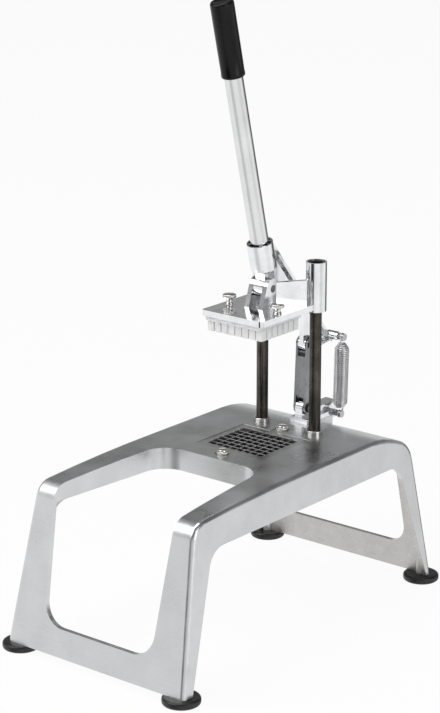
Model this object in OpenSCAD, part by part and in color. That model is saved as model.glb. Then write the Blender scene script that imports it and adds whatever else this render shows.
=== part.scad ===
// French fry cutter with a long lever: the lever drives a pusher block down two
// columns and through a knife grid in the deck of a cast base.
// Origin: on the ground, midway between the four feet. X across, -Y to the operator, +Z up.

/* [Base casting] */
// Height of the deck above the ground
deck_z = 199; // [185:1:215]
// Width of the deck
deck_w = 227; // [215:1:240]
// Width across the legs at the feet
leg_w = 260; // [250:1:275]
// From the origin to the front panel at the feet
front_foot_y = 236.7; // [230:0.1:245]
// From the origin to the front panel at deck height
front_deck_y = 197.5; // [190:0.1:205]
// From the origin to the rear panel at the feet
rear_foot_y = 231.2; // [229:0.1:240]
// From the origin to the rear panel at deck height
rear_deck_y = 200; // [196:0.1:206]
// Wall of the casting
base_wall = 5.5; // [4.5:0.1:6.5]
// Round on the outer edges
edge_r = 6; // [4:0.5:8]
// Radius of the front bend
front_bend_r = 21; // [16:1:30]
// Radius of the rear bend
rear_bend_r = 34; // [26:1:40]
// Radius of the long fall of the deck towards the front
front_crown_r = 2500; // [1800:50:4000]
// Radius of the fall of the deck towards the rear
rear_crown_r = 155; // [130:5:200]
// From the origin forward to where the flat of the deck ends
flat_front_y = 10; // [5:1:20]
// From the origin back to where the flat of the deck ends
flat_rear_y = 124; // [123:1:128]

/* [Base openings] */
// Depth of the side beams
beam_depth = 40; // [32:1:48]
// Width of the front leg flanges at the feet
front_flange_foot = 15; // [12:0.5:20]
// Width of the front leg flanges at the beams
front_flange_top = 33; // [26:0.5:40]
// Width of the rear leg flanges at the feet
rear_flange_foot = 10.5; // [9:0.5:16]
// Width of the rear leg flanges at the beams
rear_flange_top = 31; // [24:0.5:38]
// Corner radius of the side arches
arch_r = 26; // [16:1:32]
// From the origin forward to the rear edge of the bowl opening
bowl_rear_y = 29.5; // [26:0.5:36]
// Width of the bowl opening at its rear edge
bowl_rear_w = 146; // [130:1:152]
// Width of the bowl opening at the front bend
bowl_front_w = 173; // [160:1:180]
// Corner radius of the bowl opening
bowl_r = 30; // [20:1:38]
// Depth of the rim round the bowl opening, from the deck
rim_depth = 26; // [20:1:34]
// Height of the front cross bar's upper edge
front_bar_z = 40; // [34:1:50]
// Share of the front bend that lies in the front window
seam_share = 0.33; // [0.2:0.01:0.5]
// Width of the front window at the cross bar
front_window_w = 156; // [140:1:164]
// Corner radius of the front window
front_window_r = 28; // [18:1:34]
// Height of the rear cross bar's upper edge
rear_bar_z = 43; // [36:1:52]
// Width of the rear window at the cross bar
rear_window_w = 200; // [180:1:204]
// Width of the rear window at its top
rear_window_top_w = 186; // [170:1:190]
// Height of the rear window's top
rear_window_z = 152; // [140:1:158]
// Corner radius of the rear window
rear_window_r = 24; // [14:1:30]

/* [Feet] */
// Radius of a rubber foot
foot_r = 21.5; // [18:0.5:24]
// Height of a rubber foot
foot_h = 8.5; // [7:0.5:11]
// From a leg's outer face at the ground to a foot's centre, across
foot_inset_x = 12; // [10:0.5:14]
// From the nearer panel at the ground to a foot's centre, front to back
foot_inset_y = 4.7; // [4.5:0.1:6]
// Radius of the bosses that hold the foot screws
foot_boss_r = 6; // [5.5:0.1:7]
// Height of the bosses that hold the foot screws
foot_boss_h = 24; // [20:1:30]
// Radius of the foot screws' shanks
foot_screw_r = 2.5; // [2:0.1:3]
// Radius of the foot screws' heads
foot_screw_head_r = 4.6; // [4:0.1:5]

/* [Knife grid] */
// Width of one cut chip
cell = 10; // [9:0.1:10.5]
// Cells across the grid
cells_x = 8; // [6:1:8]
// Cells front to back
cells_y = 7; // [5:1:7]
// From the origin back to the grid's centre
grid_y = 45; // [43:0.5:46]
// Depth of the blades' edges below the frame's top
blade_drop = 1.1; // [0.8:0.1:1.5]
// Thickness of a blade
blade_t = 0.9; // [0.6:0.1:1.2]
// Height of a blade
blade_h = 11; // [9:0.5:12]
// Height of the ground edge of a blade
blade_edge_h = 2; // [1:0.25:3]
// Depth that a blade is let into the frame
blade_seat = 2.4; // [1.5:0.1:3]
// Wall of the knife frame
frame_wall = 5; // [4.5:0.1:6]
// Height of the knife frame
frame_h = 14; // [13:0.5:16]
// Width of the frame's flange outside its wall
flange_out = 4; // [3:0.1:5]
// Thickness of the frame's flange and tongues
flange_t = 3; // [2.5:0.1:3.5]
// Depth of the frame's top below the deck
frame_drop = 0.6; // [0.4:0.1:1]
// From the grid's centre to a grid screw
grid_screw_y = 56; // [55:0.5:57]
// Width of the tongues under the grid screws
tongue_w = 18; // [16:0.5:20]
// Radius of a grid screw's head
grid_screw_head_r = 7.6; // [6:0.1:8]
// Height of a grid screw's head
grid_screw_head_h = 6; // [5:0.5:8]
// Radius of a grid screw's shank
grid_screw_r = 3; // [2.5:0.1:3.5]

/* [Columns] */
// Radius of a column
post_r = 7; // [6:0.1:7.5]
// From the centre line to a column
post_x = 39; // [37:0.5:41]
// From the origin back to the columns
post_y = 112.5; // [111:0.5:113]
// Height of the columns' tops
post_top_z = 405; // [380:1:420]
// Radius of the threaded foot of a column
spigot_r = 5; // [4:0.1:5.5]
// Radius of the collars on the deck
collar_r = 10; // [9:0.1:11]
// Height of the collars on the deck
collar_h = 5.5; // [4:0.5:7]
// Radius of the bosses under the columns
post_boss_r = 13; // [12:0.5:15]
// Depth of the bosses under the columns, from the deck
post_boss_h = 15; // [12:0.5:18]
// Width of a column nut across its corners
post_nut_w = 18.5; // [17:0.5:20]
// Height of a column nut
post_nut_h = 8; // [6:0.5:10]

/* [Head casting] */
// Height of the head plate's top with the lever up
head_z = 359.2; // [355:0.1:362]
// Thickness of the head plate
head_t = 7; // [6:0.1:8]
// Half the width of the head plate
head_x = 44.2; // [43.5:0.1:46]
// From the origin back to the head plate's front edge
head_front_y = 4.3; // [3:0.1:6]
// From the origin back to the head plate's rear edge
head_rear_y = 100; // [98:0.5:101]
// Corner radius of the head plate
head_corner_r = 5; // [3:0.5:8]
// Outer radius of the guide sleeves
sleeve_r = 12.3; // [11.5:0.1:13]
// Wall of the guide sleeves
sleeve_wall = 1.9; // [1.5:0.1:2.5]
// Height of the sleeves' lower ends
sleeve_low_z = 349.4; // [346:0.1:351]
// Height of the sleeves' upper ends
sleeve_top_z = 407.8; // [405:0.1:412]
// Depth of the guide bushes below the sleeves' ends
bush_drop = 1; // [0.5:0.1:2]
// Gap between the lever ears
ear_gap = 14; // [13.5:0.1:15]
// Thickness of a lever ear
ear_t = 6; // [5:0.1:7]
// Thickness of the webs from the ears to the sleeves
head_web_t = 5; // [4:0.1:6]

/* [Pusher] */
// Height of the pusher pins
pin_h = 13; // [11:0.5:14]
// Gap between two pusher pins
pin_gap = 1.5; // [1.4:0.1:2]
// Thickness of the pusher's back
pusher_t = 5.2; // [4.5:0.1:6]
// Rim of the pusher's back round the pins, front to back
pusher_rim = 3; // [2:0.1:3.5]
// From the centre line to a clamping knob
knob_x = 35; // [34:0.5:35]
// Radius of a knob's head
knob_r = 8; // [7:0.1:8.5]
// Height of a knob's head
knob_head_h = 4.5; // [4:0.1:5.5]
// Radius of a knob's neck
knob_neck_r = 5; // [4:0.1:5.5]
// Height of a knob's neck
knob_neck_h = 7.3; // [6:0.1:8]
// Radius of a knob's stud
knob_stud_r = 3; // [2.5:0.1:3]
// Depth of a knob's stud in the pusher
knob_stud_depth = 10; // [8:0.5:12]

/* [Lever] */
// From the origin back to the lever's pivot
pivot_y = 65; // [64:0.5:66]
// Height of the lever's pivot with the lever up
pivot_z = 380.5; // [379:0.1:382]
// Lean of the handle tube towards the operator with the lever up
lever_lean = 13.8; // [12:0.1:15]
// From the pivot back to the handle tube's axis
tube_offset = 4.5; // [4:0.1:5]
// Radius of the handle tube
tube_r = 10.65; // [10:0.05:11]
// Wall of the handle tube
tube_wall = 2; // [1.5:0.1:3]
// From the pivot to the tube's lower end
tube_low = 32; // [30:0.5:36]
// From the pivot to the tube's upper end
tube_top = 341; // [320:1:345]
// Radius of the grip
grip_r = 13.4; // [12.5:0.1:14.5]
// Length of the grip
grip_l = 87; // [80:1:110]
// Thickness of the grip's closed end
grip_end = 4; // [3:0.5:6]
// Radius of the tube socket
socket_r = 15.25; // [14.5:0.05:16]
// From the pivot to the socket's lower end
socket_low = 23; // [22.5:0.5:25]
// From the pivot to the socket's mouth
socket_top = 55; // [50:0.5:60]
// Depth of the notches in the socket's mouth
notch_depth = 7; // [5:0.5:9]
// Radius of the notches in the socket's mouth
notch_r = 13.4; // [12.8:0.1:13.6]
// Width of the four ribs between the notches
notch_rib_w = 4; // [3:0.5:6]
// Radius of the hub at the pivot
hub_r = 12; // [11:0.1:13]
// Radius of the lever's pivot pin
pivot_pin_r = 4.5; // [4:0.1:5]
// Thickness of the lever's web
web_t = 6; // [5:0.1:6]
// Width of the flange along the web's rear edge
rib_w = 14; // [12:0.5:14]
// Thickness of the flange along the web's rear edge
rib_t = 4; // [3:0.1:5]

/* [Link] */
// From the origin back to the lever's link eye with the lever up
eye_y = 147; // [146.5:0.5:148]
// Height of the lever's link eye with the lever up
eye_z = 295; // [294:0.5:296]
// From the origin back to the link's lower pivot
lug_y = 143; // [142:0.5:144]
// Height of the link's lower pivot
lug_z = 217; // [216:0.5:218]
// Thickness of the lever's eye and of the lug's eye
eye_t = 10.5; // [9.5:0.1:10.7]
// Radius of the lever's eye and of the lug's eye
eye_r = 10; // [9:0.1:10.5]
// Width of the link
link_w = 17; // [16.5:0.5:19]
// Depth of the link, front to back
link_d = 18; // [16:0.5:18]
// Gap between the cheeks of the link's forks
fork_gap = 11.2; // [11:0.1:12]
// From a link pivot to the floor of its fork
fork_depth = 15; // [14.5:0.5:18]
// Radius of the link pins
link_pin_r = 4; // [3.5:0.1:4.5]
// Height of a link pin's head
link_head_h = 2.5; // [2:0.1:3.5]
// Radius of a link pin's head
link_head_r = 6; // [5.5:0.1:7]
// Wall of the bushes in the two eyes
eye_bush_wall = 1.8; // [1.2:0.1:2.5]

/* [Rear bracket] */
// Half the width of the rear block
block_x = 8; // [7.5:0.5:8]
// From the origin back to the front of the rear block
block_front_y = 160; // [158:1:164]
// From the origin back to the rear of the rear block
block_rear_y = 198; // [197:0.5:200]
// Height of the rear block's top
block_top_z = 214; // [211:0.5:217]
// Thickness of the bracket's foot
bracket_t = 6; // [5:0.5:8]
// Half the width of the machined pad under the bracket
pad_x = 13; // [12:0.5:15]
// From the origin back to the pad's rear edge
pad_rear_y = 184; // [180:1:186]
// From the origin back to the front bracket screw
bracket_screw_front_y = 147; // [146:0.5:150]
// From the origin back to the rear bracket screw
bracket_screw_rear_y = 173; // [170:0.5:174]
// Radius of the bracket screws
bracket_screw_r = 3; // [2.5:0.1:3.2]

/* [Return spring] */
// From the origin back to the spring's lower pin
spring_low_y = 192; // [191:0.5:192]
// Height of the spring's lower pin
spring_low_z = 199.5; // [199:0.5:201]
// From the origin back to the spring's upper pin with the lever up
spring_top_y = 195; // [194:0.5:196]
// Height of the spring's upper pin with the lever up
spring_top_z = 295; // [293:0.5:297]
// From the centre line to the spring's axis
spring_x = 17.5; // [17.4:0.1:19]
// Radius of the spring wire
wire_r = 0.9; // [0.7:0.05:1]
// Outer radius of the coil
coil_r = 9; // [8:0.1:9]
// Distance from curl to curl
coil_step = 2.27; // [2.2:0.01:2.5]
// Curls in the coil, with its drawn-in ends
curls = 36; // [28:1:36]
// Curls that each end draws in over
cone_curls = 3; // [2:1:4]
// Radius to which the ends draw in, at the wire's centre
cone_r = 3.6; // [3:0.1:5]
// Radius of the spring pins
spring_pin_r = 3; // [2.5:0.1:3.2]
// Radius of the bosses that carry the spring pins
spring_boss_r = 5; // [4.5:0.1:6]
// Height of a spring pin's head
spring_head_h = 2.5; // [2:0.1:3]
// Radius of a spring pin's head
spring_head_r = 4.5; // [4.2:0.1:6]

/* [Fits] */
// Radial clearance of a running fit
running = 0.06; // [0.03:0.01:0.09]
// Clearance of a part that drops into a seat
seat_gap = 0.3; // [0.2:0.05:0.5]
// Gap between solids that pass one another
side_gap = 0.35; // [0.3:0.05:0.5]
// Clearance of a blade in its slot
blade_gap = 0.1; // [0.05:0.01:0.15]
// Radial clearance of a tight fit
tight = 0.02; // [0.01:0.01:0.03]

/* [Hidden] */

// An overrun past a face, for clean cuts
over = edge_r;
// Steps of a full circle on plain rounds
$fn = 64;
// Steps of a full circle on the edge rounds of the base
edge_steps = 24;
// Stations along a bend and along a fall of the deck
bend_steps = 7;
crown_steps = 4;

cast_colour = [0.78, 0.79, 0.8];
steel_colour = [0.62, 0.62, 0.64];
chrome_colour = [0.86, 0.87, 0.88];
dark_steel_colour = [0.25, 0.23, 0.21];
rubber_colour = [0.06, 0.06, 0.06];
white_colour = [0.93, 0.93, 0.91];
bronze_colour = [0.7, 0.55, 0.3];

// Directions and small functions
front = 0;
rear = 1;
ends = [front, rear];
sides = [-1, 1];

function unit(v) = v / norm(v);
function level_mix(a, b, t) = a + (b - a) * t;
// Where a straight edge from (low, low_z) to (high, high_z) stands at height z
function edge_at(low, low_z, high, high_z, z) = level_mix(low, high, (z - low_z) / (high_z - low_z));

// A convex outline with a true round of the given radius at each corner
function corner_back(p, i) = unit(p[(i + len(p) - 1) % len(p)] - p[i]);
function corner_next(p, i) = unit(p[(i + 1) % len(p)] - p[i]);
function corner_half(p, i) = acos(corner_back(p, i) * corner_next(p, i)) / 2;
function corner_centre(p, i, r) =
    p[i] + unit(corner_back(p, i) + corner_next(p, i)) * r / sin(corner_half(p, i));

module rounded(points, radii) {
    polygon([
        for (i = [0 : len(points) - 1])
            for (arm = radii[i] > 0 ? [corner_back(points, i), corner_next(points, i)] : [[0, 0]])
                points[i] + arm * radii[i] / tan(corner_half(points, i))
    ]);
    for (i = [0 : len(points) - 1])
        if (radii[i] > 0)
            translate(corner_centre(points, i, radii[i])) circle(r = radii[i]);
}

// The same outline as a line of points, for large openings
corner_steps = 10;
function corner_arc(p, i, r) =
    let (
        c = corner_centre(p, i, r),
        reach = r / tan(corner_half(p, i)),
        a = angle_of(p[i] + corner_back(p, i) * reach - c),
        b = angle_of(p[i] + corner_next(p, i) * reach - c),
        sweep = (b - a + 540) % 360 - 180
    )
    [for (k = [0 : corner_steps]) c + r * heading(a + sweep * k / corner_steps)];
function rounded_points(p, radii) =
    [for (i = [0 : len(p) - 1]) for (q = radii[i] > 0 ? corner_arc(p, i, radii[i]) : [p[i]]) q];

// An outline in (Y, Z), drawn out along X about the centre line
module along_x(width) {
    rotate([90, 0, 90]) linear_extrude(height = width, center = true) children();
}

// An outline in (X, Z), drawn out along Y from y0 to y1
module along_y(y0, y1) {
    translate([0, y1, 0]) rotate([90, 0, 0]) linear_extrude(height = y1 - y0) children();
}

// A round bar along X from x0 to x1
module bar_x(x0, x1, r, at) {
    translate([x0, at[0], at[1]]) rotate([0, 90, 0]) cylinder(r = r, h = x1 - x0);
}

// Side view of the base: two leaning panels, two bends and a deck that falls at both ends
leg_z = foot_h;
toward = [-1, 1];
panel_foot = [[-front_foot_y, leg_z], [rear_foot_y, leg_z]];
panel_top = [[-front_deck_y, deck_z], [rear_deck_y, deck_z]];
bend_r = [front_bend_r, rear_bend_r];
crown_r = [front_crown_r, rear_crown_r];
crown_centre = [[-flat_front_y, deck_z - front_crown_r], [flat_rear_y, deck_z - rear_crown_r]];

function panel_dir(e) = unit(panel_top[e] - panel_foot[e]);
function panel_y(e, z) = edge_at(panel_foot[e][0], leg_z, panel_top[e][0], deck_z, z);
function inward(e) = [-toward[e] * panel_dir(e)[1], toward[e] * panel_dir(e)[0]];
function bend_start(e) = panel_foot[e] + bend_r[e] * inward(e) - crown_centre[e];
function bend_run(e) =
    let (b = bend_start(e), along = b * panel_dir(e), reach = crown_r[e] - bend_r[e])
    -along + sqrt(along * along - b * b + reach * reach);
function bend_centre(e) = crown_centre[e] + bend_start(e) + panel_dir(e) * bend_run(e);

// Angles of the outward directions along a bend and along a fall, in degrees
function angle_of(v) = atan2(v[1], v[0]);
function panel_angle(e) = angle_of(-inward(e));
function crown_angle(e) = angle_of(bend_centre(e) - crown_centre[e]);
function heading(a) = [cos(a), sin(a)];

// The side view's line, moved in from the outer skin, from a foot up to the flat of the deck
function half_path(e, inset, foot_drop) =
    let (lean = panel_dir(e)[0] / panel_dir(e)[1])
    concat(
        [[panel_y(e, leg_z) - toward[e] * inset / panel_dir(e)[1] - lean * foot_drop, leg_z - foot_drop]],
        [for (i = [0 : bend_steps])
            bend_centre(e) + (bend_r[e] - inset)
                * heading(level_mix(panel_angle(e), crown_angle(e), i / bend_steps))],
        [for (i = [1 : crown_steps])
            crown_centre[e] + (crown_r[e] - inset)
                * heading(level_mix(crown_angle(e), 90, i / crown_steps))]
    );
function turned_round(p) = [for (i = [len(p) - 1 : -1 : 0]) p[i]];
function side_path(inset, foot_drop) =
    concat(half_path(front, inset, foot_drop), turned_round(half_path(rear, inset, foot_drop)));

// Half the width of the base at height z, moved in from the outer skin
side_draft = atan2((leg_w - deck_w) / 2, deck_z - leg_z);
function half_width(z, inset) =
    edge_at(leg_w / 2, leg_z, deck_w / 2, deck_z, z) - inset / cos(side_draft);

module base_skin() {
    hull()
        for (s = sides)
            for (p = side_path(edge_r, edge_r + over))
                translate([s * half_width(p[1], edge_r), p[0], p[1]])
                    sphere(r = edge_r, $fn = edge_steps);
}

module base_hollow() {
    intersection() {
        along_x(leg_w) polygon(side_path(base_wall, over));
        along_y(-front_foot_y, rear_foot_y)
            polygon([
                for (s = sides)
                    for (z = s > 0 ? [deck_z, leg_z - over] : [leg_z - over, deck_z])
                        [s * half_width(z, base_wall), z]
            ]);
    }
}

// Bowl opening in plan, moved out by a margin
seam = bend_centre(front)
    + bend_r[front] * heading(level_mix(panel_angle(front), crown_angle(front), seam_share));
bend_y = -seam[0];
function bowl_half(y, margin) =
    edge_at(bowl_rear_w / 2, bowl_rear_y, bowl_front_w / 2, bend_y, y) + margin;
module bowl_plan(margin, front_y) {
    polygon(rounded_points(
        [
            for (s = sides)
                for (y = s > 0 ? [bowl_rear_y - margin, front_y] : [front_y, bowl_rear_y - margin])
                    [s * bowl_half(y, margin), -y]
        ],
        [0, bowl_r + margin, bowl_r + margin, 0]
    ));
}

module front_window() {
    top_z = deck_z + over;
    top_half = edge_at(front_window_w / 2, front_bar_z, bowl_half(bend_y, 0), seam[1], top_z);
    along_y(-front_foot_y - over, -bend_y)
        polygon(rounded_points(
            [
                [-front_window_w / 2, front_bar_z],
                [front_window_w / 2, front_bar_z],
                [top_half, top_z],
                [-top_half, top_z]
            ],
            [front_window_r, front_window_r, 0, 0]
        ));
}

module rear_window() {
    along_y(bend_centre(rear)[0] - bend_r[rear], rear_foot_y + over)
        polygon(rounded_points(
            [
                [-rear_window_w / 2, rear_bar_z],
                [rear_window_w / 2, rear_bar_z],
                [rear_window_top_w / 2, rear_window_z],
                [-rear_window_top_w / 2, rear_window_z]
            ],
            [rear_window_r, rear_window_r, rear_window_r / 2, rear_window_r / 2]
        ));
}

beam_z = deck_z - beam_depth;
function arch_y(e, foot_w, top_w, z) =
    edge_at(panel_y(e, leg_z) - toward[e] * foot_w, leg_z, panel_y(e, beam_z) - toward[e] * top_w, beam_z, z);
module side_arches() {
    along_x(leg_w + over)
        polygon(rounded_points(
            [
                [arch_y(front, front_flange_foot, front_flange_top, leg_z - over), leg_z - over],
                [arch_y(rear, rear_flange_foot, rear_flange_top, leg_z - over), leg_z - over],
                [arch_y(rear, rear_flange_foot, rear_flange_top, beam_z), beam_z],
                [arch_y(front, front_flange_foot, front_flange_top, beam_z), beam_z]
            ],
            [0, 0, arch_r, arch_r]
        ));
}

// Sizes of the knife frame that the pocket, the blades and the pusher share
grid_w = cell * cells_x;
grid_d = cell * cells_y;
frame_top_z = deck_z - frame_drop;
flange_z = frame_top_z - flange_t;
frame_w = grid_w + 2 * frame_wall;
frame_d = grid_d + 2 * frame_wall;
flange_w = frame_w + 2 * flange_out;
flange_d = frame_d + 2 * flange_out;
tongue_y = grid_screw_y + tongue_w / 2;
ledge_t = base_wall;

// Flange of the knife frame with its two tongues, in plan
module flange_plan(margin) {
    square([flange_w + 2 * margin, flange_d + 2 * margin], center = true);
    for (s = sides) {
        translate([0, s * grid_screw_y]) circle(r = tongue_w / 2 + margin);
        translate([0, s * grid_screw_y / 2])
            square([tongue_w + 2 * margin, grid_screw_y], center = true);
    }
}

module at_grid(z) {
    translate([0, grid_y, z]) children();
}

module on_grid_screws() {
    for (s = sides) translate([0, s * grid_screw_y, 0]) children();
}

foot_x = leg_w / 2 - foot_inset_x;
foot_y = min(front_foot_y, rear_foot_y) - foot_inset_y;
module on_feet() {
    for (s = sides)
        for (e = ends)
            translate([s * foot_x, toward[e] * foot_y, 0]) children();
}

module on_columns(z) {
    for (s = sides) translate([s * post_x, post_y, z]) children();
}

module on_bracket_screws(z) {
    for (y = [bracket_screw_front_y, bracket_screw_rear_y]) translate([0, y, z]) children();
}

// Parts of the base that stand inside its skin
module base_inside() {
    // Rim round the bowl opening
    translate([0, 0, deck_z - rim_depth])
        linear_extrude(height = rim_depth) bowl_plan(base_wall, front_foot_y);
    // Foot bosses
    on_feet() translate([0, 0, leg_z]) cylinder(r = foot_boss_r, h = foot_boss_h);
    // Seat under the knife frame
    at_grid(flange_z - ledge_t)
        linear_extrude(height = deck_z - flange_z + ledge_t) flange_plan(base_wall);
    // Column bosses
    on_columns(deck_z - post_boss_h) cylinder(r = post_boss_r, h = post_boss_h);
    // Thickened deck under the bracket
    translate([-pad_x, bracket_front_y, deck_z - post_boss_h])
        cube([2 * pad_x, pad_rear_y - bracket_front_y, post_boss_h]);
}

base_d = front_foot_y + rear_foot_y;
module base_casting() {
    color(cast_colour)
    difference() {
        union() {
            base_skin();
            // Machined pad that carries the bracket
            translate([-pad_x, bracket_front_y, deck_z - post_boss_h])
                cube([2 * pad_x, pad_rear_y - bracket_front_y, post_boss_h]);
        }
        difference() {
            base_hollow();
            base_inside();
        }
        // Level the legs where the feet meet them
        translate([-base_d, -base_d, leg_z - deck_z]) cube([2 * base_d, 2 * base_d, deck_z]);
        // Bowl opening behind the front bend, then the windows and the arches
        linear_extrude(height = deck_z + over) bowl_plan(0, bend_y);
        front_window();
        rear_window();
        side_arches();
        // Pocket and throat of the knife frame
        at_grid(flange_z) linear_extrude(height = flange_t + frame_drop + over) flange_plan(seat_gap);
        at_grid(0)
            linear_extrude(height = deck_z)
                square([frame_w + 2 * seat_gap, frame_d + 2 * seat_gap], center = true);
        // Holes for the grid screws, columns, bracket screws and foot screws
        at_grid(flange_z - ledge_t - over)
            on_grid_screws() cylinder(r = grid_screw_r + running, h = ledge_t + 2 * over);
        on_columns(deck_z - post_boss_h - over)
            cylinder(r = spigot_r + running, h = post_boss_h + 2 * over);
        on_bracket_screws(deck_z - post_boss_h - over)
            cylinder(r = bracket_screw_r + running, h = post_boss_h + 2 * over);
        on_bracket_screws(beam_z)
            cylinder(r = 2 * bracket_screw_r + seat_gap, h = deck_z - post_boss_h - beam_z);
        on_feet() cylinder(r = foot_screw_r + running, h = leg_z + foot_boss_h - foot_screw_r);
    }
}

// Feet and their screws
foot_seat_z = foot_h / 2;
foot_edge = foot_h / 6;

module foot(s, e) {
    color(rubber_colour)
    translate([s * foot_x, toward[e] * foot_y, 0])
        difference() {
            rotate_extrude()
                rounded([[0, 0], [foot_r, 0], [foot_r, foot_h], [0, foot_h]], [0, foot_edge, foot_edge, 0]);
            cylinder(r = foot_screw_head_r + seat_gap, h = 2 * foot_seat_z, center = true);
            cylinder(r = foot_screw_r + running, h = 2 * foot_h);
        }
}
module foot_front_left() foot(-1, front);
module foot_front_right() foot(1, front);
module foot_rear_left() foot(-1, rear);
module foot_rear_right() foot(1, rear);

module foot_screws() {
    color(steel_colour)
    on_feet() {
        translate([0, 0, foot_seat_z / 3])
            difference() {
                cylinder(r1 = foot_screw_head_r - foot_edge / 2, r2 = foot_screw_head_r,
                    h = 2 * foot_seat_z / 3);
                for (a = [0, 90])
                    rotate([0, 0, a])
                        cube([foot_screw_head_r, foot_edge / 2, foot_seat_z / 2], center = true);
            }
        translate([0, 0, foot_seat_z])
            cylinder(r = foot_screw_r, h = leg_z - foot_seat_z + foot_boss_h - 2 * foot_screw_r);
    }
}

// Knife grid
blade_top_z = frame_top_z - blade_drop;
blade_low_z = blade_top_z - blade_h;
slot_w = blade_t + 2 * blade_gap;
long_x = [for (i = [1 : cells_x - 1]) (i - cells_x / 2) * cell];
cross_y = [for (i = [1 : cells_y - 1]) (i - cells_y / 2) * cell];

// Slots for all blades of one direction, with a margin on their ends
module slots(places, span, z, h) {
    for (p = places) translate([p - slot_w / 2, -span / 2, z]) cube([slot_w, span, h]);
}

module knife_frame() {
    color(steel_colour)
    at_grid(0)
        difference() {
            union() {
                translate([0, 0, flange_z]) linear_extrude(height = flange_t) flange_plan(0);
                translate([-frame_w / 2, -frame_d / 2, frame_top_z - frame_h])
                    cube([frame_w, frame_d, frame_h]);
            }
            translate([-grid_w / 2, -grid_d / 2, 0]) cube([grid_w, grid_d, deck_z]);
            slots(long_x, grid_d + 2 * (blade_seat + blade_gap), blade_low_z, blade_h + over);
            rotate([0, 0, 90])
                slots(cross_y, grid_w + 2 * (blade_seat + blade_gap), blade_low_z, blade_h + over);
            on_grid_screws() cylinder(r = grid_screw_r + running, h = deck_z);
        }
}

// Blades of one direction, ground to an edge on top
module blades(places, span) {
    for (p = places)
        translate([p, span / 2, blade_low_z])
            rotate([90, 0, 0])
                linear_extrude(height = span)
                    polygon([
                        [-blade_t / 2, 0], [blade_t / 2, 0], [blade_t / 2, blade_h - blade_edge_h],
                        [0, blade_h], [-blade_t / 2, blade_h - blade_edge_h]
                    ]);
}

module blades_long() {
    color(steel_colour)
    at_grid(0)
        difference() {
            blades(long_x, grid_d + 2 * blade_seat);
            rotate([0, 0, 90])
                slots(cross_y, grid_w, blade_low_z - blade_h / 2 + blade_gap, blade_h);
        }
}

module blades_cross() {
    color(steel_colour)
    at_grid(0)
        difference() {
            rotate([0, 0, 90]) blades(cross_y, grid_w + 2 * blade_seat);
            slots(long_x, grid_d, blade_low_z + blade_h / 2 - blade_gap, blade_h);
        }
}

// A ring of fine ridges round a knob, in plan
knurls = 30;
knurl_share = 0.94;
module knurled(r) {
    polygon([for (i = [0 : 2 * knurls - 1]) r * (i % 2 == 0 ? 1 : knurl_share) * heading(i * 180 / knurls)]);
}

module grid_screw(e) {
    shank_l = flange_t + ledge_t + grid_screw_r;
    color(chrome_colour)
    translate([0, grid_y + toward[e] * grid_screw_y, frame_top_z]) {
        linear_extrude(height = grid_screw_head_h * 3 / 4) knurled(grid_screw_head_r);
        cylinder(r = grid_screw_head_r * knurl_share * knurl_share, h = grid_screw_head_h);
        translate([0, 0, -shank_l]) cylinder(r = grid_screw_r, h = shank_l);
    }
}
module grid_screw_front() grid_screw(front);
module grid_screw_rear() grid_screw(rear);

// Columns
post_chamfer = post_r / 7;
nut_low_z = deck_z - post_boss_h - post_nut_h;

module column(s) {
    color(dark_steel_colour)
    translate([s * post_x, post_y, 0]) {
        translate([0, 0, nut_low_z - 2 * post_chamfer])
            cylinder(r = spigot_r, h = deck_z - nut_low_z + 2 * post_chamfer);
        translate([0, 0, deck_z]) cylinder(r = post_r, h = post_top_z - deck_z - post_chamfer);
        translate([0, 0, post_top_z - post_chamfer])
            cylinder(r1 = post_r, r2 = post_r - post_chamfer, h = post_chamfer);
    }
}
module column_left() column(-1);
module column_right() column(1);

module column_collars() {
    color(chrome_colour)
    on_columns(deck_z)
        difference() {
            rotate_extrude()
                rounded(
                    [[0, 0], [collar_r, 0], [collar_r, collar_h], [0, collar_h]],
                    [0, 0, collar_h / 4, 0]
                );
            translate([0, 0, -over]) cylinder(r = post_r + running, h = collar_h + 2 * over);
        }
}

module column_nuts() {
    color(steel_colour)
    on_columns(nut_low_z)
        difference() {
            cylinder(r = post_nut_w / 2, h = post_nut_h, $fn = 6);
            translate([0, 0, -over]) cylinder(r = spigot_r + running, h = post_nut_h + 2 * over);
        }
}

// Pivots in side view, (Y, Z)
pivot = [pivot_y, pivot_z];
eye = [eye_y, eye_z];
lug = [lug_y, lug_z];
spring_low = [spring_low_y, spring_low_z];
spring_top = [spring_top_y, spring_top_z];

// Rear bracket
bracket_front_y = lug_y - eye_r;
eye_bore_r = link_pin_r + running + eye_bush_wall + tight;
nose_z = spring_low_z - spring_boss_r - bracket_t / 3;
nose_y = pad_rear_y + side_gap;

module rear_bracket() {
    lug_foot_y = lug_y + 2 * eye_r;
    color(cast_colour)
    difference() {
        union() {
            translate([-pad_x + side_gap, bracket_front_y, deck_z])
                cube([2 * (pad_x - side_gap), pad_rear_y - bracket_front_y, bracket_t]);
            along_x(2 * block_x)
                polygon([
                    [block_front_y, deck_z], [block_front_y + bracket_t / 2, block_top_z],
                    [block_rear_y, block_top_z], [block_rear_y, nose_z], [nose_y, nose_z],
                    [nose_y, deck_z]
                ]);
            // Lug on a foot that spreads towards the rear
            along_x(eye_t) {
                translate(lug) circle(r = eye_r);
                polygon([
                    [lug_y - eye_r, deck_z], [lug_foot_y, deck_z], [lug_foot_y, deck_z + bracket_t],
                    touch([lug_foot_y, deck_z + bracket_t], lug, eye_r, 1), lug, [lug_y - eye_r, lug_z]
                ]);
            }
        }
        bar_x(-eye_t, eye_t, eye_bore_r, lug);
        bar_x(0, 2 * block_x, spring_pin_r + tight, spring_low);
        on_bracket_screws(deck_z - over)
            cylinder(r = bracket_screw_r + tight, h = bracket_t + over - bracket_screw_r / 3);
    }
}

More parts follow.
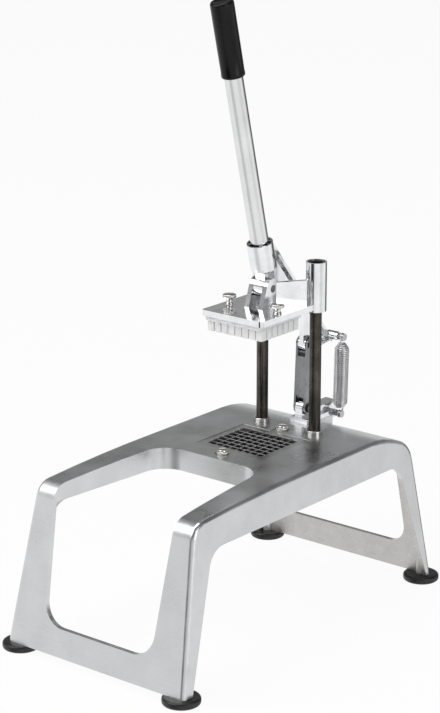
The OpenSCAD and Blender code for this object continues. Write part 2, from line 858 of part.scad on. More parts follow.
// The point where a straight line from a just touches a circle, on the chosen side
function touch(a, centre, r, side) =
    centre + r * heading(angle_of(a - centre) + side * acos(r / norm(a - centre)));

module bracket_screws() {
    screw_low_z = deck_z - post_boss_h;
    color(steel_colour)
    on_bracket_screws(screw_low_z) {
        cylinder(r = bracket_screw_r, h = post_boss_h + bracket_t - bracket_screw_r);
        translate([0, 0, -bracket_screw_r])
            difference() {
                cylinder(r = 2 * bracket_screw_r, h = bracket_screw_r);
                translate([0, 0, -bracket_screw_r])
                    cylinder(r = bracket_screw_r, h = 3 * bracket_screw_r / 2, $fn = 6);
            }
    }
}

// A plain bush in an eye
module eye_bush(at) {
    color(bronze_colour)
    difference() {
        bar_x(-eye_t / 2, eye_t / 2, eye_bore_r - tight, at);
        bar_x(-eye_t, eye_t, link_pin_r + running, at);
    }
}
module link_lower_bush() eye_bush(lug);
module lever_eye_bush() eye_bush(eye);

module spring_pin_lower() {
    color(steel_colour)
    spring_pin(block_x / 2, block_x, spring_low);
}

// A shouldered pin for a spring loop: from x0, a thicker part up to the loop, and a head
module spring_pin(x0, thick_x, at) {
    head_x0 = spring_x + wire_r + side_gap;
    bar_x(x0, head_x0, spring_pin_r, at);
    bar_x(thick_x, spring_x - spring_pin_r, spring_pin_r + wire_r, at);
    bar_x(head_x0, head_x0 + spring_head_h, spring_head_r, at);
}

// Head casting
plate_low_z = head_z - head_t;
bush_r = sleeve_r - sleeve_wall;
ear_out = ear_gap / 2 + ear_t;
ear_foot_y = pivot_y - 5 * hub_r / 3;
slot_y = head_rear_y - head_corner_r - ear_t;
web_top_z = pivot_z + ear_t;

module head_plate() {
    translate([0, 0, plate_low_z])
        linear_extrude(height = head_t) {
            rounded(
                [[-head_x, head_front_y], [head_x, head_front_y], [head_x, head_rear_y],
                    [-head_x, head_rear_y]],
                [head_corner_r, head_corner_r, 0, 0]
            );
            for (s = sides)
                translate([s * (head_x + post_x - sleeve_r) / 2, post_y - sleeve_r])
                    square([head_x - post_x + sleeve_r, 2 * sleeve_r], center = true);
        }
}

module ears() {
    foot_point = [ear_foot_y, head_z];
    for (s = sides)
        translate([s * (ear_gap + ear_t) / 2, 0, 0])
            along_x(ear_t) {
                translate(pivot) circle(r = hub_r);
                polygon([
                    [ear_foot_y, head_z - head_t / 2], [pivot_y + hub_r, head_z - head_t / 2],
                    [pivot_y + hub_r, pivot_z], pivot, touch(foot_point, pivot, hub_r, -1), foot_point
                ]);
            }
}

// Webs from the ears out to the sleeves
module head_webs() {
    from = [(ear_gap + ear_t) / 2, pivot_y + hub_r / 2];
    run = [post_x, post_y] - from;
    for (s = sides)
        scale_side(s)
            translate([from[0], from[1], plate_low_z])
                rotate([0, 0, angle_of(run)])
                    translate([0, -head_web_t / 2, 0])
                        cube([norm(run), head_web_t, web_top_z - plate_low_z]);
}

module scale_side(s) {
    if (s > 0) children();
    else mirror([1, 0, 0]) children();
}

module head_casting() {
    color(cast_colour)
    difference() {
        union() {
            head_plate();
            ears();
            head_webs();
            on_columns(sleeve_low_z) cylinder(r = sleeve_r, h = sleeve_top_z - sleeve_low_z);
        }
        on_columns(sleeve_low_z - over)
            cylinder(r = bush_r + tight, h = sleeve_top_z - sleeve_low_z + 2 * over);
        bar_x(-head_x, head_x, pivot_pin_r + tight, pivot);
        // Slot for the lever's web, and clear holes for the knobs' studs
        translate([-web_t / 2 - side_gap * 6, slot_y, plate_low_z - over])
            cube([web_t + side_gap * 12, head_rear_y, head_t + 2 * over]);
        for (s = sides)
            translate([s * knob_x, grid_y, plate_low_z - over])
                cylinder(r = knob_stud_r + running, h = head_t + 2 * over);
    }
}

module guide_bush(s) {
    color(rubber_colour)
    translate([s * post_x, post_y, sleeve_low_z])
        difference() {
            cylinder(r = bush_r, h = sleeve_top_z - sleeve_low_z - bush_drop);
            translate([0, 0, -over])
                cylinder(r = post_r + running, h = sleeve_top_z - sleeve_low_z + 2 * over);
        }
}
module guide_bush_left() guide_bush(-1);
module guide_bush_right() guide_bush(1);

module lever_pivot_pin() {
    color(dark_steel_colour)
    bar_x(-ear_out, ear_out, pivot_pin_r, pivot);
}

// Pusher: one pin over each cell
pusher_back_z = plate_low_z - pusher_t;
pusher_w = grid_w - 2 * pin_gap / 3;
pusher_d = grid_d + 2 * pusher_rim;
pin_w = cell - pin_gap;

module pusher_block() {
    color(white_colour)
    at_grid(0)
        difference() {
            union() {
                translate([-pusher_w / 2, -pusher_d / 2, pusher_back_z]) cube([pusher_w, pusher_d, pusher_t]);
                for (i = [0 : cells_x - 1])
                    for (j = [0 : cells_y - 1])
                        translate([
                            (i - cells_x / 2) * cell + pin_gap / 2,
                            (j - cells_y / 2) * cell + pin_gap / 2,
                            pusher_back_z - pin_h
                        ])
                            cube([pin_w, pin_w, pin_h + pusher_t / 2]);
            }
            for (s = sides)
                translate([s * knob_x, 0, plate_low_z - knob_stud_depth])
                    cylinder(r = knob_stud_r + running, h = knob_stud_depth + over);
        }
}

module knob(s) {
    stud_l = head_t + knob_stud_depth - knob_stud_r / 3;
    head_low = knob_neck_h;
    color(chrome_colour)
    translate([s * knob_x, grid_y, head_z]) {
        translate([0, 0, -stud_l]) cylinder(r = knob_stud_r, h = stud_l);
        cylinder(r = knob_neck_r, h = knob_neck_h);
        translate([0, 0, head_low])
            rotate_extrude()
                rounded(
                    [[0, 0], [knob_r, 0], [knob_r, knob_head_h], [0, knob_head_h]],
                    [0, knob_head_h / 4, knob_head_h / 3, 0]
                );
    }
}
module knob_left() knob(-1);
module knob_right() knob(1);

// Lever, drawn in side view; at_lever stands at the pivot with Z along the handle tube
module at_lever() {
    translate([0, pivot_y, pivot_z]) rotate([lever_lean, 0, 0]) children();
}
function from_lever(y, z) =
    pivot + [y * cos(lever_lean) - z * sin(lever_lean), y * sin(lever_lean) + z * cos(lever_lean)];

hub_x = ear_gap / 2 - side_gap;
neck_d = 2 * hub_r - web_t;
socket_bore_r = tube_r + tight;
socket_floor_t = tube_low - socket_low;
web_back_top = from_lever(tube_offset + socket_r - rib_t / 2, socket_top - rib_t / 2);
tail_r = spring_boss_r + tight * 25;
web_back_low = touch(web_back_top, spring_top, tail_r, 1);
web_front_z = plate_low_z - rib_t;

module lever_socket() {
    translate([0, tube_offset, 0]) {
        translate([0, 0, socket_low]) cylinder(r = socket_r, h = socket_top - socket_low);
        translate([0, 0, socket_low - rib_t / 2])
            cylinder(r1 = socket_r - rib_t / 2, r2 = socket_r, h = rib_t / 2);
    }
    translate([-hub_x, tube_offset - neck_d / 2, 0]) cube([2 * hub_x, neck_d, socket_low]);
}

module lever_notches() {
    difference() {
        translate([0, 0, socket_top - notch_depth]) cylinder(r = notch_r, h = notch_depth + over);
        for (a = [45, 135])
            rotate([0, 0, a])
                translate([-socket_r, -notch_rib_w / 2, 0])
                    cube([2 * socket_r, notch_rib_w, socket_top + 2 * over]);
    }
}

module lever_web() {
    along_x(web_t)
        polygon([
            pivot, web_back_top, web_back_low, spring_top,
            touch(eye - [0, eye_r], spring_top, tail_r, 1), eye - [0, eye_r], eye,
            eye - [eye_r, 0], [eye_y - eye_r, web_front_z],
            touch([eye_y - eye_r, web_front_z], pivot, hub_r - rib_t, 1)
        ]);
    along_x(web_t) translate(spring_top) circle(r = tail_r);
    inner = rib_t * heading(angle_of(web_back_low - web_back_top) - 90);
    along_x(rib_w)
        polygon([web_back_top, web_back_low, web_back_low + inner, web_back_top + inner]);
}

module lever_casting() {
    color(cast_colour)
    difference() {
        union() {
            bar_x(-hub_x, hub_x, hub_r, pivot);
            at_lever() lever_socket();
            lever_web();
            bar_x(-eye_t / 2, eye_t / 2, eye_r, eye);
            bar_x(0, spring_boss_end, tail_r, spring_top);
        }
        bar_x(-ear_out, ear_out, pivot_pin_r + running, pivot);
        bar_x(-eye_t, eye_t, eye_bore_r, eye);
        at_lever()
            translate([0, tube_offset, 0]) {
                translate([0, 0, tube_low]) cylinder(r = socket_bore_r, h = tube_top);
                lever_notches();
            }
    }
}
spring_boss_end = spring_x - spring_pin_r - wire_r - side_gap;

module handle_tube() {
    color(steel_colour)
    at_lever()
        translate([0, tube_offset, tube_low])
            difference() {
                cylinder(r = tube_r, h = tube_top - tube_low);
                translate([0, 0, -over]) cylinder(r = tube_r - tube_wall, h = tube_top);
            }
}

module handle_grip() {
    grip_low = tube_top + grip_end - grip_l;
    color(rubber_colour)
    at_lever()
        translate([0, tube_offset, grip_low])
            difference() {
                rotate_extrude()
                    rounded(
                        [[0, 0], [grip_r, 0], [grip_r, grip_l], [0, grip_l]],
                        [0, grip_end / 4, grip_end * 3 / 4, 0]
                    );
                translate([0, 0, -over]) cylinder(r = tube_r + tight, h = grip_l - grip_end + over);
            }
}

module lever_eye_pin() {
    color(dark_steel_colour)
    bar_x(-eye_t / 2, eye_t / 2, link_pin_r, eye);
}

// Link between the bracket's lug and the lever's eye
module link_bar() {
    run = eye - lug;
    color(cast_colour)
    translate([0, lug_y, lug_z])
        rotate([angle_of(run) - 90, 0, 0])
            difference() {
                along_x(link_w) {
                    translate([-link_d / 2, 0]) square([link_d, norm(run)]);
                    circle(r = link_d / 2);
                    translate([0, norm(run)]) circle(r = link_d / 2);
                }
                for (z = [0, norm(run)]) {
                    bar_x(-link_w, link_w, link_pin_r + tight, [0, z]);
                    translate([0, 0, z])
                        cube([fork_gap, 2 * link_d, 2 * fork_depth], center = true);
                }
            }
}

module link_lower_pin() {
    color(dark_steel_colour) {
        bar_x(-link_w / 2, link_w / 2, link_pin_r, lug);
        for (s = sides)
            scale_side(s) bar_x(link_w / 2, link_w / 2 + link_head_h, link_head_r, lug);
    }
}

module link_upper_pins() {
    color(dark_steel_colour)
    for (s = sides)
        scale_side(s) {
            bar_x(fork_gap / 2, link_w / 2, link_pin_r, eye);
            bar_x(link_w / 2, link_w / 2 + link_head_h, link_head_r, eye);
        }
}

module spring_pin_upper() {
    color(steel_colour)
    spring_pin(spring_x - spring_pin_r - wire_r, spring_x - spring_pin_r - wire_r, spring_top);
}

// Return spring: one wire with a loop at each end, wound along the line between its pins
spring_l = norm(spring_top - spring_low);
loop_r = spring_pin_r + wire_r + 2.5 * running;
coil_mean_r = coil_r - wire_r;
coil_turns = curls - 1 / 2;
coil_low = (spring_l - coil_turns * coil_step) / 2;
rings_a_curl = 8;
rings_a_loop = 24;
rings_a_bend = 6;
wire_sides = 6;

function loop_points() =
    [for (i = [0 : 3 * rings_a_loop / 4])
        let (a = -270 + i * 360 / rings_a_loop) [0, loop_r * cos(a), loop_r * sin(a)]];
function bezier(p, t) =
    pow(1 - t, 3) * p[0] + 3 * t * pow(1 - t, 2) * p[1] + 3 * t * t * (1 - t) * p[2] + pow(t, 3) * p[3];
function bend_points() =
    let (a = [0, loop_r, 0], b = [0, cone_r, coil_low], k = coil_low / 2,
        p = [a, a + [0, 0, k], b + [k, 0, -k * coil_step / (2 * PI * cone_r)], b])
    [for (i = [1 : rings_a_bend - 1]) bezier(p, i / rings_a_bend)];
function coil_radius(t) =
    level_mix(cone_r, coil_mean_r, min(1, min(t, coil_turns - t) / cone_curls));
function coil_points() =
    [for (i = [0 : coil_turns * rings_a_curl])
        let (t = i / rings_a_curl, a = 90 + 360 * t)
        [coil_radius(t) * cos(a), coil_radius(t) * sin(a), coil_low + t * coil_step]];
function other_end(p) = [for (q = turned_round(p)) [q[0], -q[1], spring_l - q[2]]];

wire = concat(loop_points(), bend_points(), coil_points(), other_end(bend_points()),
    other_end(loop_points()));
last = len(wire) - 1;
function wire_dir(i) = unit(wire[min(i + 1, last)] - wire[max(i - 1, 0)]);
function square_to(v, d) = unit(v - (v * d) * d);
wire_across = [for (i = 0, n = [1, 0, 0]; i <= last; i = i + 1, n = square_to(n, wire_dir(min(i, last)))) n];

// Least gap of the wire to itself, between rings that are not neighbours
wire_gap = min([
    for (i = [0 : last])
        for (j = [i + rings_a_curl - 2 : 1 : last])
            norm(wire[i] - wire[j])
]) - 2 * wire_r;
echo(least_gap_of_the_spring_wire_to_itself = wire_gap);

module return_spring() {
    color(steel_colour)
    translate([spring_x, spring_low_y, spring_low_z])
        rotate([angle_of(spring_top - spring_low) - 90, 0, 0])
            polyhedron(
                points = [
                    for (i = [0 : last])
                        for (k = [0 : wire_sides - 1])
                            let (u = wire_across[i], v = cross(wire_dir(i), u), a = k * 360 / wire_sides)
                            wire[i] + wire_r * (cos(a) * u + sin(a) * v)
                ],
                faces = concat(
                    [
                        for (i = [0 : last - 1])
                            for (k = [0 : wire_sides - 1])
                                let (m = (k + 1) % wire_sides, a = i * wire_sides, b = a + wire_sides)
                                for (f = [[a + k, b + k, b + m], [a + k, b + m, a + m]]) f
                    ],
                    [
                        [for (k = [0 : wire_sides - 1]) k],
                        [for (k = [wire_sides - 1 : -1 : 0]) last * wire_sides + k]
                    ]
                )
            );
}

base_casting();
foot_front_left();
foot_front_right();
foot_rear_left();
foot_rear_right();
foot_screws();
knife_frame();
blades_long();
blades_cross();
grid_screw_front();
grid_screw_rear();
column_left();
column_right();
column_collars();
column_nuts();
rear_bracket();
bracket_screws();
link_lower_pin();
link_lower_bush();
spring_pin_lower();
head_casting();
guide_bush_left();
guide_bush_right();
pusher_block();
knob_left();
knob_right();
lever_pivot_pin();
lever_casting();
handle_tube();
handle_grip();
lever_eye_bush();
lever_eye_pin();
link_bar();
link_upper_pins();
spring_pin_upper();
return_spring();
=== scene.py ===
"""Looks of a lever-driven french fry cutter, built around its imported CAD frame.

Lengths are in metres and in the frame of the CAD model: X across, -Y to the operator, Z up. The
tables of a turned piece's profile are in millimetres, as a lathe's drawing has them.
Each class below builds and dresses one sub-assembly.
"""

from __future__ import annotations

import logging
import math
from dataclasses import dataclass, field
from enum import Enum
from typing import Callable, Iterable, Sequence

import bmesh
import bpy
from mathutils import Matrix, Vector


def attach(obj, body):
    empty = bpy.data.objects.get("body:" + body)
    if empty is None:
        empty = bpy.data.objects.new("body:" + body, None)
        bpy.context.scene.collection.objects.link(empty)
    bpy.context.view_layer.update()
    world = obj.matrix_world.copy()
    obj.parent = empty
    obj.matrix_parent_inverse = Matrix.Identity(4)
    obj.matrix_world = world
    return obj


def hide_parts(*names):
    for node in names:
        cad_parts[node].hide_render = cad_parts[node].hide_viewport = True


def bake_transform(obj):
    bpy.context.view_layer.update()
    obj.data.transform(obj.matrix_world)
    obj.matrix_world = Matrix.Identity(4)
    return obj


LOG = logging.getLogger("fry_cutter")
MM = 0.001
Colour = tuple[float, float, float]
Point = tuple[float, float, float]
# A Spot is a pair, such as a profile's (radius, height); a Row adds the share of the ridges there.
Spot = tuple[float, float]
Row = tuple[float, float, float]
# A Sweep is an arc's start and end in degrees, and the number of its steps.
Sweep = tuple[float, float, int]

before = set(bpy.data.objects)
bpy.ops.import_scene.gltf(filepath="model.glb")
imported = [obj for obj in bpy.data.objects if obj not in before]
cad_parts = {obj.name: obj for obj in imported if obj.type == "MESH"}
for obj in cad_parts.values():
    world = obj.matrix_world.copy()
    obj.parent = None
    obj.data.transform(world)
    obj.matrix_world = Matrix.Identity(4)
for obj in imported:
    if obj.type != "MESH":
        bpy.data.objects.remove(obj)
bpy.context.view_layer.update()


class Body(str, Enum):
    """The rigid bodies of the frame."""

    BASE = "base"
    HEAD = "head"
    LEVER = "lever"
    LINK = "link"
    SPRING = "spring"
    SPRING_TOP = "spring_top"


class Grain(str, Enum):
    """The way that a finish's fine marks run."""

    EVEN = "even"
    ALONG_X = "along_x"
    ALONG_Z = "along_z"


GRAIN_STRETCH: dict[Grain, Point] = {
    Grain.EVEN: (1.0, 1.0, 1.0),
    Grain.ALONG_X: (0.04, 1.0, 1.0),
    Grain.ALONG_Z: (1.0, 1.0, 0.04),
}


class Graph:
    """A small writer of shader nodes for one material or world."""

    def __init__(self, owner: bpy.types.Material | bpy.types.World, shader: str = "Principled BSDF"
                 ) -> None:
        """Starts on the owner's own nodes.

        Args:
            owner: a new material or world.
            shader: the name of the shader node that it starts with.
        """
        owner.use_nodes = True
        self.owner = owner
        self.tree = owner.node_tree
        self.surface = self.tree.nodes[shader]

    def add(self, kind: str, **values: object) -> bpy.types.Node:
        """Adds a node and sets its properties or, where there is none of that name, its sockets.

        Args:
            kind: the node's type without its "ShaderNode" prefix.
            **values: properties or sockets; an underscore in a socket's name is a space.

        Returns:
            The new node.
        """
        node = self.tree.nodes.new("ShaderNode" + kind)
        for key, value in values.items():
            if hasattr(node, key):
                setattr(node, key, value)
            else:
                node.inputs[key.replace("_", " ")].default_value = value
        return node

    def link(self, source: bpy.types.NodeSocket, target: bpy.types.NodeSocket) -> None:
        """Joins an output to an input."""
        self.tree.links.new(source, target)

    def place(self, stretch: Point = (1.0, 1.0, 1.0)) -> bpy.types.NodeSocket:
        """Gives the object's own coordinates, stretched.

        Args:
            stretch: a factor for each axis.

        Returns:
            The vector output.
        """
        where = self.add("TexCoord")
        mapping = self.add("Mapping")
        mapping.inputs["Scale"].default_value = stretch
        self.link(where.outputs["Object"], mapping.inputs["Vector"])
        return mapping.outputs["Vector"]

    def noise(self, size: float, detail: float = 4.0, stretch: Point = (1.0, 1.0, 1.0),
              rough: float = 0.55) -> bpy.types.NodeSocket:
        """Gives a noise whose blotches are about as wide as size.

        Args:
            size: width of a blotch.
            detail: octaves of finer noise.
            stretch: a factor for each axis.
            rough: weight of the finer noise.

        Returns:
            The noise's value output.
        """
        node = self.add("TexNoise", Scale=1.0 / size, Detail=detail, Roughness=rough)
        self.link(self.place(stretch), node.inputs["Vector"])
        return node.outputs["Fac"]

    def ramp(self, value: bpy.types.NodeSocket, stops: Sequence[tuple[float, Colour]]
             ) -> bpy.types.NodeSocket:
        """Turns a value into a colour.

        Args:
            value: the value to read.
            stops: places and their colours.

        Returns:
            The colour output.
        """
        node = self.add("ValToRGB")
        band = node.color_ramp
        while len(band.elements) < len(stops):
            band.elements.new(0.5)
        for element, (place, colour) in zip(band.elements, stops):
            element.position = place
            element.color = (*colour, 1.0)
        self.link(value, node.inputs["Fac"])
        return node.outputs["Color"]

    def span(self, value: bpy.types.NodeSocket, low: float, high: float, out_low: float,
             out_high: float) -> bpy.types.NodeSocket:
        """Maps a value from one span to another.

        Args:
            value: the value to read.
            low: start of the span read.
            high: end of the span read.
            out_low: the result at low.
            out_high: the result at high.

        Returns:
            The mapped value output.
        """
        node = self.add("MapRange")
        numbers = {"From Min": low, "From Max": high, "To Min": out_low, "To Max": out_high}
        for key, number in numbers.items():
            node.inputs[key].default_value = number
        self.link(value, node.inputs["Value"])
        return node.outputs["Result"]

    def greys(self, value: bpy.types.NodeSocket, low: float, high: float, stops: Sequence[Spot]
              ) -> bpy.types.NodeSocket:
        """Turns a value into greys.

        Args:
            value: the value to read.
            low: start of the span that the stops' places are in.
            high: its end.
            stops: places and their levels.

        Returns:
            The grey's colour output.
        """
        shares = [((place - low) / (high - low), (level, level, level)) for place, level in stops]
        return self.ramp(self.span(value, low, high, 0.0, 1.0), shares)

    def around(self, way: bpy.types.NodeSocket, stops: Sequence[Spot]) -> bpy.types.NodeSocket:
        """Gives a grey by the compass direction of a vector.

        Args:
            way: the vector.
            stops: directions in degrees, from -180 to 180, and their levels.

        Returns:
            The grey's colour output.
        """
        parts = self.add("SeparateXYZ")
        self.link(way, parts.inputs["Vector"])
        turn = self.add("Math", operation="ARCTAN2")
        self.link(parts.outputs["Y"], turn.inputs[0])
        self.link(parts.outputs["X"], turn.inputs[1])
        places = [(math.radians(a), level) for a, level in stops]
        return self.greys(turn.outputs["Value"], -math.pi, math.pi, places)

    def mix(self, kind: str, share: bpy.types.NodeSocket | float, a: bpy.types.NodeSocket,
            b: bpy.types.NodeSocket | Colour) -> bpy.types.NodeSocket:
        """Mixes two colours.

        Args:
            kind: the blend type.
            share: how much of b shows.
            a: the first colour.
            b: the second colour.

        Returns:
            The mixed colour output.
        """
        node = self.add("MixRGB", blend_type=kind)
        if isinstance(share, float):
            node.inputs["Fac"].default_value = share
        else:
            self.link(share, node.inputs["Fac"])
        self.link(a, node.inputs["Color1"])
        if isinstance(b, tuple):
            node.inputs["Color2"].default_value = (*b, 1.0)
        else:
            self.link(b, node.inputs["Color2"])
        return node.outputs["Color"]

    def either(self, share: bpy.types.NodeSocket, a: bpy.types.NodeSocket, b: bpy.types.NodeSocket
               ) -> bpy.types.NodeSocket:
        """Mixes two shaders.

        Args:
            share: how much of b shows.
            a: the first shader.
            b: the second shader.

        Returns:
            The mixed shader output.
        """
        both = self.add("MixShader")
        self.link(share, both.inputs["Fac"])
        self.link(a, both.inputs[1])
        self.link(b, both.inputs[2])
        return both.outputs["Shader"]

    def bump(self, heights: Iterable[tuple[bpy.types.NodeSocket, float]]) -> None:
        """Stacks bumps on the surface.

        Args:
            heights: height outputs with the depth of each, in metres.
        """
        last = None
        for height, depth in heights:
            node = self.add("Bump", Strength=1.0, Distance=depth)
            self.link(height, node.inputs["Height"])
            if last is not None:
                self.link(last, node.inputs["Normal"])
            last = node.outputs["Normal"]
        if last is not None:
            self.link(last, self.surface.inputs["Normal"])


@dataclass(frozen=True)
class Skin:
    """How the marks of every finish are drawn, as shares of a noise or of a finish's own values."""

    blotch_share: Spot = (0.32, 0.68)
    rough_blotch_share: Spot = (0.3, 0.7)
    rough_blotch_weight: float = 0.55
    rough_grain_weight: float = 0.45
    rough_share: Spot = (0.2, 0.75)
    grain_detail: float = 5.0
    grain_fineness: float = 0.65
    blotch_detail: float = 4.0
    grain_tones: tuple[tuple[float, Colour], ...] = ((0.3, (0.36, 0.36, 0.36)), (0.7, (0.64, 0.64, 0.64)))
    speck_share: Spot = (0.62, 0.72)
    speck_width: float = 1.7
    speck_detail: float = 2.0
    speck_gain: float = 1.5
    subsurface: float = 0.6
    subsurface_radius: Colour = (1.0, 0.95, 0.85)
    turned_way: float = 0.25


SKIN = Skin()


@dataclass(frozen=True)
class Finish:
    """A surface finish: two tones, a span of roughness, a grain and a painted highlight along a ground top
    edge.

    Depth is how far light goes in, speck is how clearly bright specks show, and turned is how strongly
    the gloss runs round the Z axis, as on a turned rod.
    """

    name: str
    slot: str
    dark: Colour
    light: Colour
    rough: Spot
    metallic: float = 1.0
    grain: Grain = Grain.EVEN
    grain_size: float = 0.0012
    grain_depth: float = 0.00002
    grain_share: float = 0.55
    blotch_size: float = 0.03
    blotch_depth: float = 0.0
    ground_crest_highlight: Colour | None = None
    crest_span: Spot = (0.0, 1.0)
    specular: float = 0.5
    depth: float = 0.0
    speck: float = 0.0
    turned: float = 0.0
    made: dict[str, bpy.types.Material] = field(default_factory=dict, compare=False)

    def material(self) -> bpy.types.Material:
        """Gives the finish's material and builds it the first time.

        Returns:
            The material.
        """
        if self.name not in self.made:
            self.made[self.name] = self._build()
        return self.made[self.name]

    def _build(self) -> bpy.types.Material:
        """Writes the nodes.

        Returns:
            The new material.
        """
        g = Graph(bpy.data.materials.new(self.name))
        stretch = GRAIN_STRETCH[self.grain]
        fine = g.noise(self.grain_size, SKIN.grain_detail, stretch, SKIN.grain_fineness)
        blotch = g.noise(self.blotch_size, SKIN.blotch_detail)
        g.link(self._tone(g, fine, blotch, stretch), g.surface.inputs["Base Color"])
        g.link(self._roughness(g, fine, blotch), g.surface.inputs["Roughness"])
        g.surface.inputs["Metallic"].default_value = self.metallic
        g.surface.inputs["Specular IOR Level"].default_value = self.specular
        if self.depth > 0.0:
            g.surface.inputs["Subsurface Weight"].default_value = SKIN.subsurface
            g.surface.inputs["Subsurface Radius"].default_value = SKIN.subsurface_radius
            g.surface.inputs["Subsurface Scale"].default_value = self.depth
        if self.turned > 0.0:
            g.surface.inputs["Anisotropic"].default_value = self.turned
            g.surface.inputs["Anisotropic Rotation"].default_value = SKIN.turned_way
            around = g.add("Tangent", direction_type="RADIAL", axis="Z")
            g.link(around.outputs["Tangent"], g.surface.inputs["Tangent"])
        heights = [(fine, self.grain_depth)]
        if self.blotch_depth > 0.0:
            heights.append((blotch, self.blotch_depth))
        g.bump(heights)
        return g.owner

    def _tone(self, g: Graph, fine: bpy.types.NodeSocket, blotch: bpy.types.NodeSocket, stretch: Point
              ) -> bpy.types.NodeSocket:
        """Draws the colour: blotches under the grain, then any specks and the painted highlight on the top
        edge.

        Args:
            g: the graph to write in.
            fine: the grain's noise.
            blotch: the blotches' noise.
            stretch: the grain's stretch.

        Returns:
            The colour output.
        """
        low, high = SKIN.blotch_share
        tone = g.mix("OVERLAY", self.grain_share, g.ramp(blotch, ((low, self.dark), (high, self.light))),
                     g.ramp(fine, SKIN.grain_tones))
        if self.speck > 0.0:
            specks = g.noise(self.grain_size * SKIN.speck_width, SKIN.speck_detail, stretch)
            share = g.span(specks, *SKIN.speck_share, 0.0, self.speck)
            tone = g.mix("MIX", share, tone, tuple(min(1.0, c * SKIN.speck_gain) for c in self.light))
        # Painted highlight: the crest tone lightens a thin band of heights at the top edges.
        if self.ground_crest_highlight is not None:
            height = g.add("SeparateXYZ")
            g.link(g.place(), height.inputs["Vector"])
            tone = g.mix("MIX", g.span(height.outputs["Z"], *self.crest_span, 0.0, 1.0), tone, self.ground_crest_highlight)
        return tone

    def _roughness(self, g: Graph, fine: bpy.types.NodeSocket, blotch: bpy.types.NodeSocket
                   ) -> bpy.types.NodeSocket:
        """Lets the roughness follow the grain and the blotches.

        Args:
            g: the graph to write in.
            fine: the grain's noise.
            blotch: the blotches' noise.

        Returns:
            The roughness output.
        """
        mixed = g.add("Math", operation="MULTIPLY_ADD")
        g.link(fine, mixed.inputs[0])
        mixed.inputs[1].default_value = SKIN.rough_grain_weight
        g.link(g.span(blotch, *SKIN.rough_blotch_share, 0.0, SKIN.rough_blotch_weight), mixed.inputs[2])
        return g.span(mixed.outputs["Value"], *SKIN.rough_share, *self.rough)

    def dress(self, piece: bpy.types.Object) -> bpy.types.Object:
        """Gives a piece this finish.

        Args:
            piece: a mesh object.

        Returns:
            The same piece.
        """
        piece.data.materials.clear()
        piece.data.materials.append(self.material())
        return piece


CAST = Finish("cast_aluminium", "cast_aluminium", (0.6, 0.608, 0.615), (0.74, 0.75, 0.76), (0.24, 0.38),
              grain=Grain.ALONG_X, grain_size=0.0013, grain_depth=0.000004, grain_share=0.35,
              blotch_size=0.045, blotch_depth=0.0003)
CAST_INNER = Finish("cast_inner_skin", "cast_aluminium", (0.55, 0.54, 0.525), (0.72, 0.71, 0.695),
                    (0.4, 0.6), grain_size=0.0013, grain_depth=0.00012, blotch_size=0.02,
                    blotch_depth=0.0006, speck=0.5)
HEAD_CAST = Finish("head_aluminium", "cast_aluminium", (0.76, 0.77, 0.78), (0.9, 0.91, 0.92), (0.08, 0.18),
                   grain_size=0.0012, grain_depth=0.000008, blotch_size=0.02, blotch_depth=0.00006,
                   speck=0.1)
# Darkened copy of the cast aluminium: painted shade on the link under the head.
LINK_CAST_PAINTED_SHADE = Finish("link_aluminium_painted_shade", "cast_aluminium", (0.22, 0.225, 0.23), (0.33, 0.335, 0.34),
                   (0.2, 0.35), grain_size=0.0012, grain_depth=0.00003, blotch_size=0.015,
                   blotch_depth=0.0002, speck=0.2)
SATIN_TUBE = Finish("satin_tube", "tube_steel", (0.7, 0.705, 0.71), (0.8, 0.805, 0.81), (0.12, 0.22),
                    grain=Grain.ALONG_Z, grain_size=0.0008, grain_depth=0.000003, blotch_size=0.04)
FRAME_STEEL = Finish("frame_steel", "frame_steel", (0.52, 0.52, 0.51), (0.66, 0.66, 0.65), (0.25, 0.42),
                     grain=Grain.ALONG_X, grain_size=0.0008, grain_depth=0.000008, blotch_size=0.02)
# Blade steel darkened to paint the shade in the grid's cells; its crest tone is a painted highlight on the
# ground top edges.
BLADE_STEEL_PAINTED_SHADE = Finish("blade_steel", "blade_steel", (0.07, 0.068, 0.066), (0.13, 0.128, 0.125), (0.35, 0.5),
                     grain_size=0.0006, grain_depth=0.000005, blotch_size=0.01, ground_crest_highlight=(0.95, 0.95, 0.96),
                     crest_span=(0.1965, 0.1971))
BRIGHT = Finish("bright_steel", "bright_steel", (0.56, 0.55, 0.53), (0.7, 0.69, 0.67), (0.06, 0.16),
                grain_size=0.0006, grain_depth=0.000004, blotch_size=0.006)
SCREW_STEEL = Finish("screw_steel", "screw_steel", (0.48, 0.48, 0.5), (0.64, 0.64, 0.66), (0.2, 0.38),
                     grain_size=0.0006, grain_depth=0.000006, blotch_size=0.006)
COLUMN_STEEL = Finish("column_steel", "column_steel", (0.045, 0.04, 0.036), (0.1, 0.09, 0.08), (0.2, 0.3),
                      grain=Grain.ALONG_Z, grain_size=0.0014, grain_depth=0.000004, blotch_size=0.02,
                      turned=0.85)
PIN_STEEL = Finish("pin_steel", "pin_steel", (0.13, 0.125, 0.12), (0.24, 0.23, 0.22), (0.3, 0.45),
                   grain_size=0.0006, grain_depth=0.000006, blotch_size=0.006)
SPRING_STEEL = Finish("spring_steel", "spring_steel", (0.66, 0.66, 0.68), (0.82, 0.82, 0.84), (0.15, 0.25),
                      grain_size=0.0008, grain_depth=0.000004, blotch_size=0.008)
BRONZE = Finish("bronze", "bronze", (0.5, 0.36, 0.18), (0.64, 0.48, 0.26), (0.3, 0.45), grain_size=0.0006,
                grain_depth=0.000006, blotch_size=0.006)
RUBBER = Finish("foot_rubber", "rubber_black", (0.005, 0.005, 0.005), (0.012, 0.012, 0.012), (0.3, 0.45),
                metallic=0.0, grain_size=0.0006, grain_depth=0.00002, blotch_size=0.01,
                blotch_depth=0.00005)
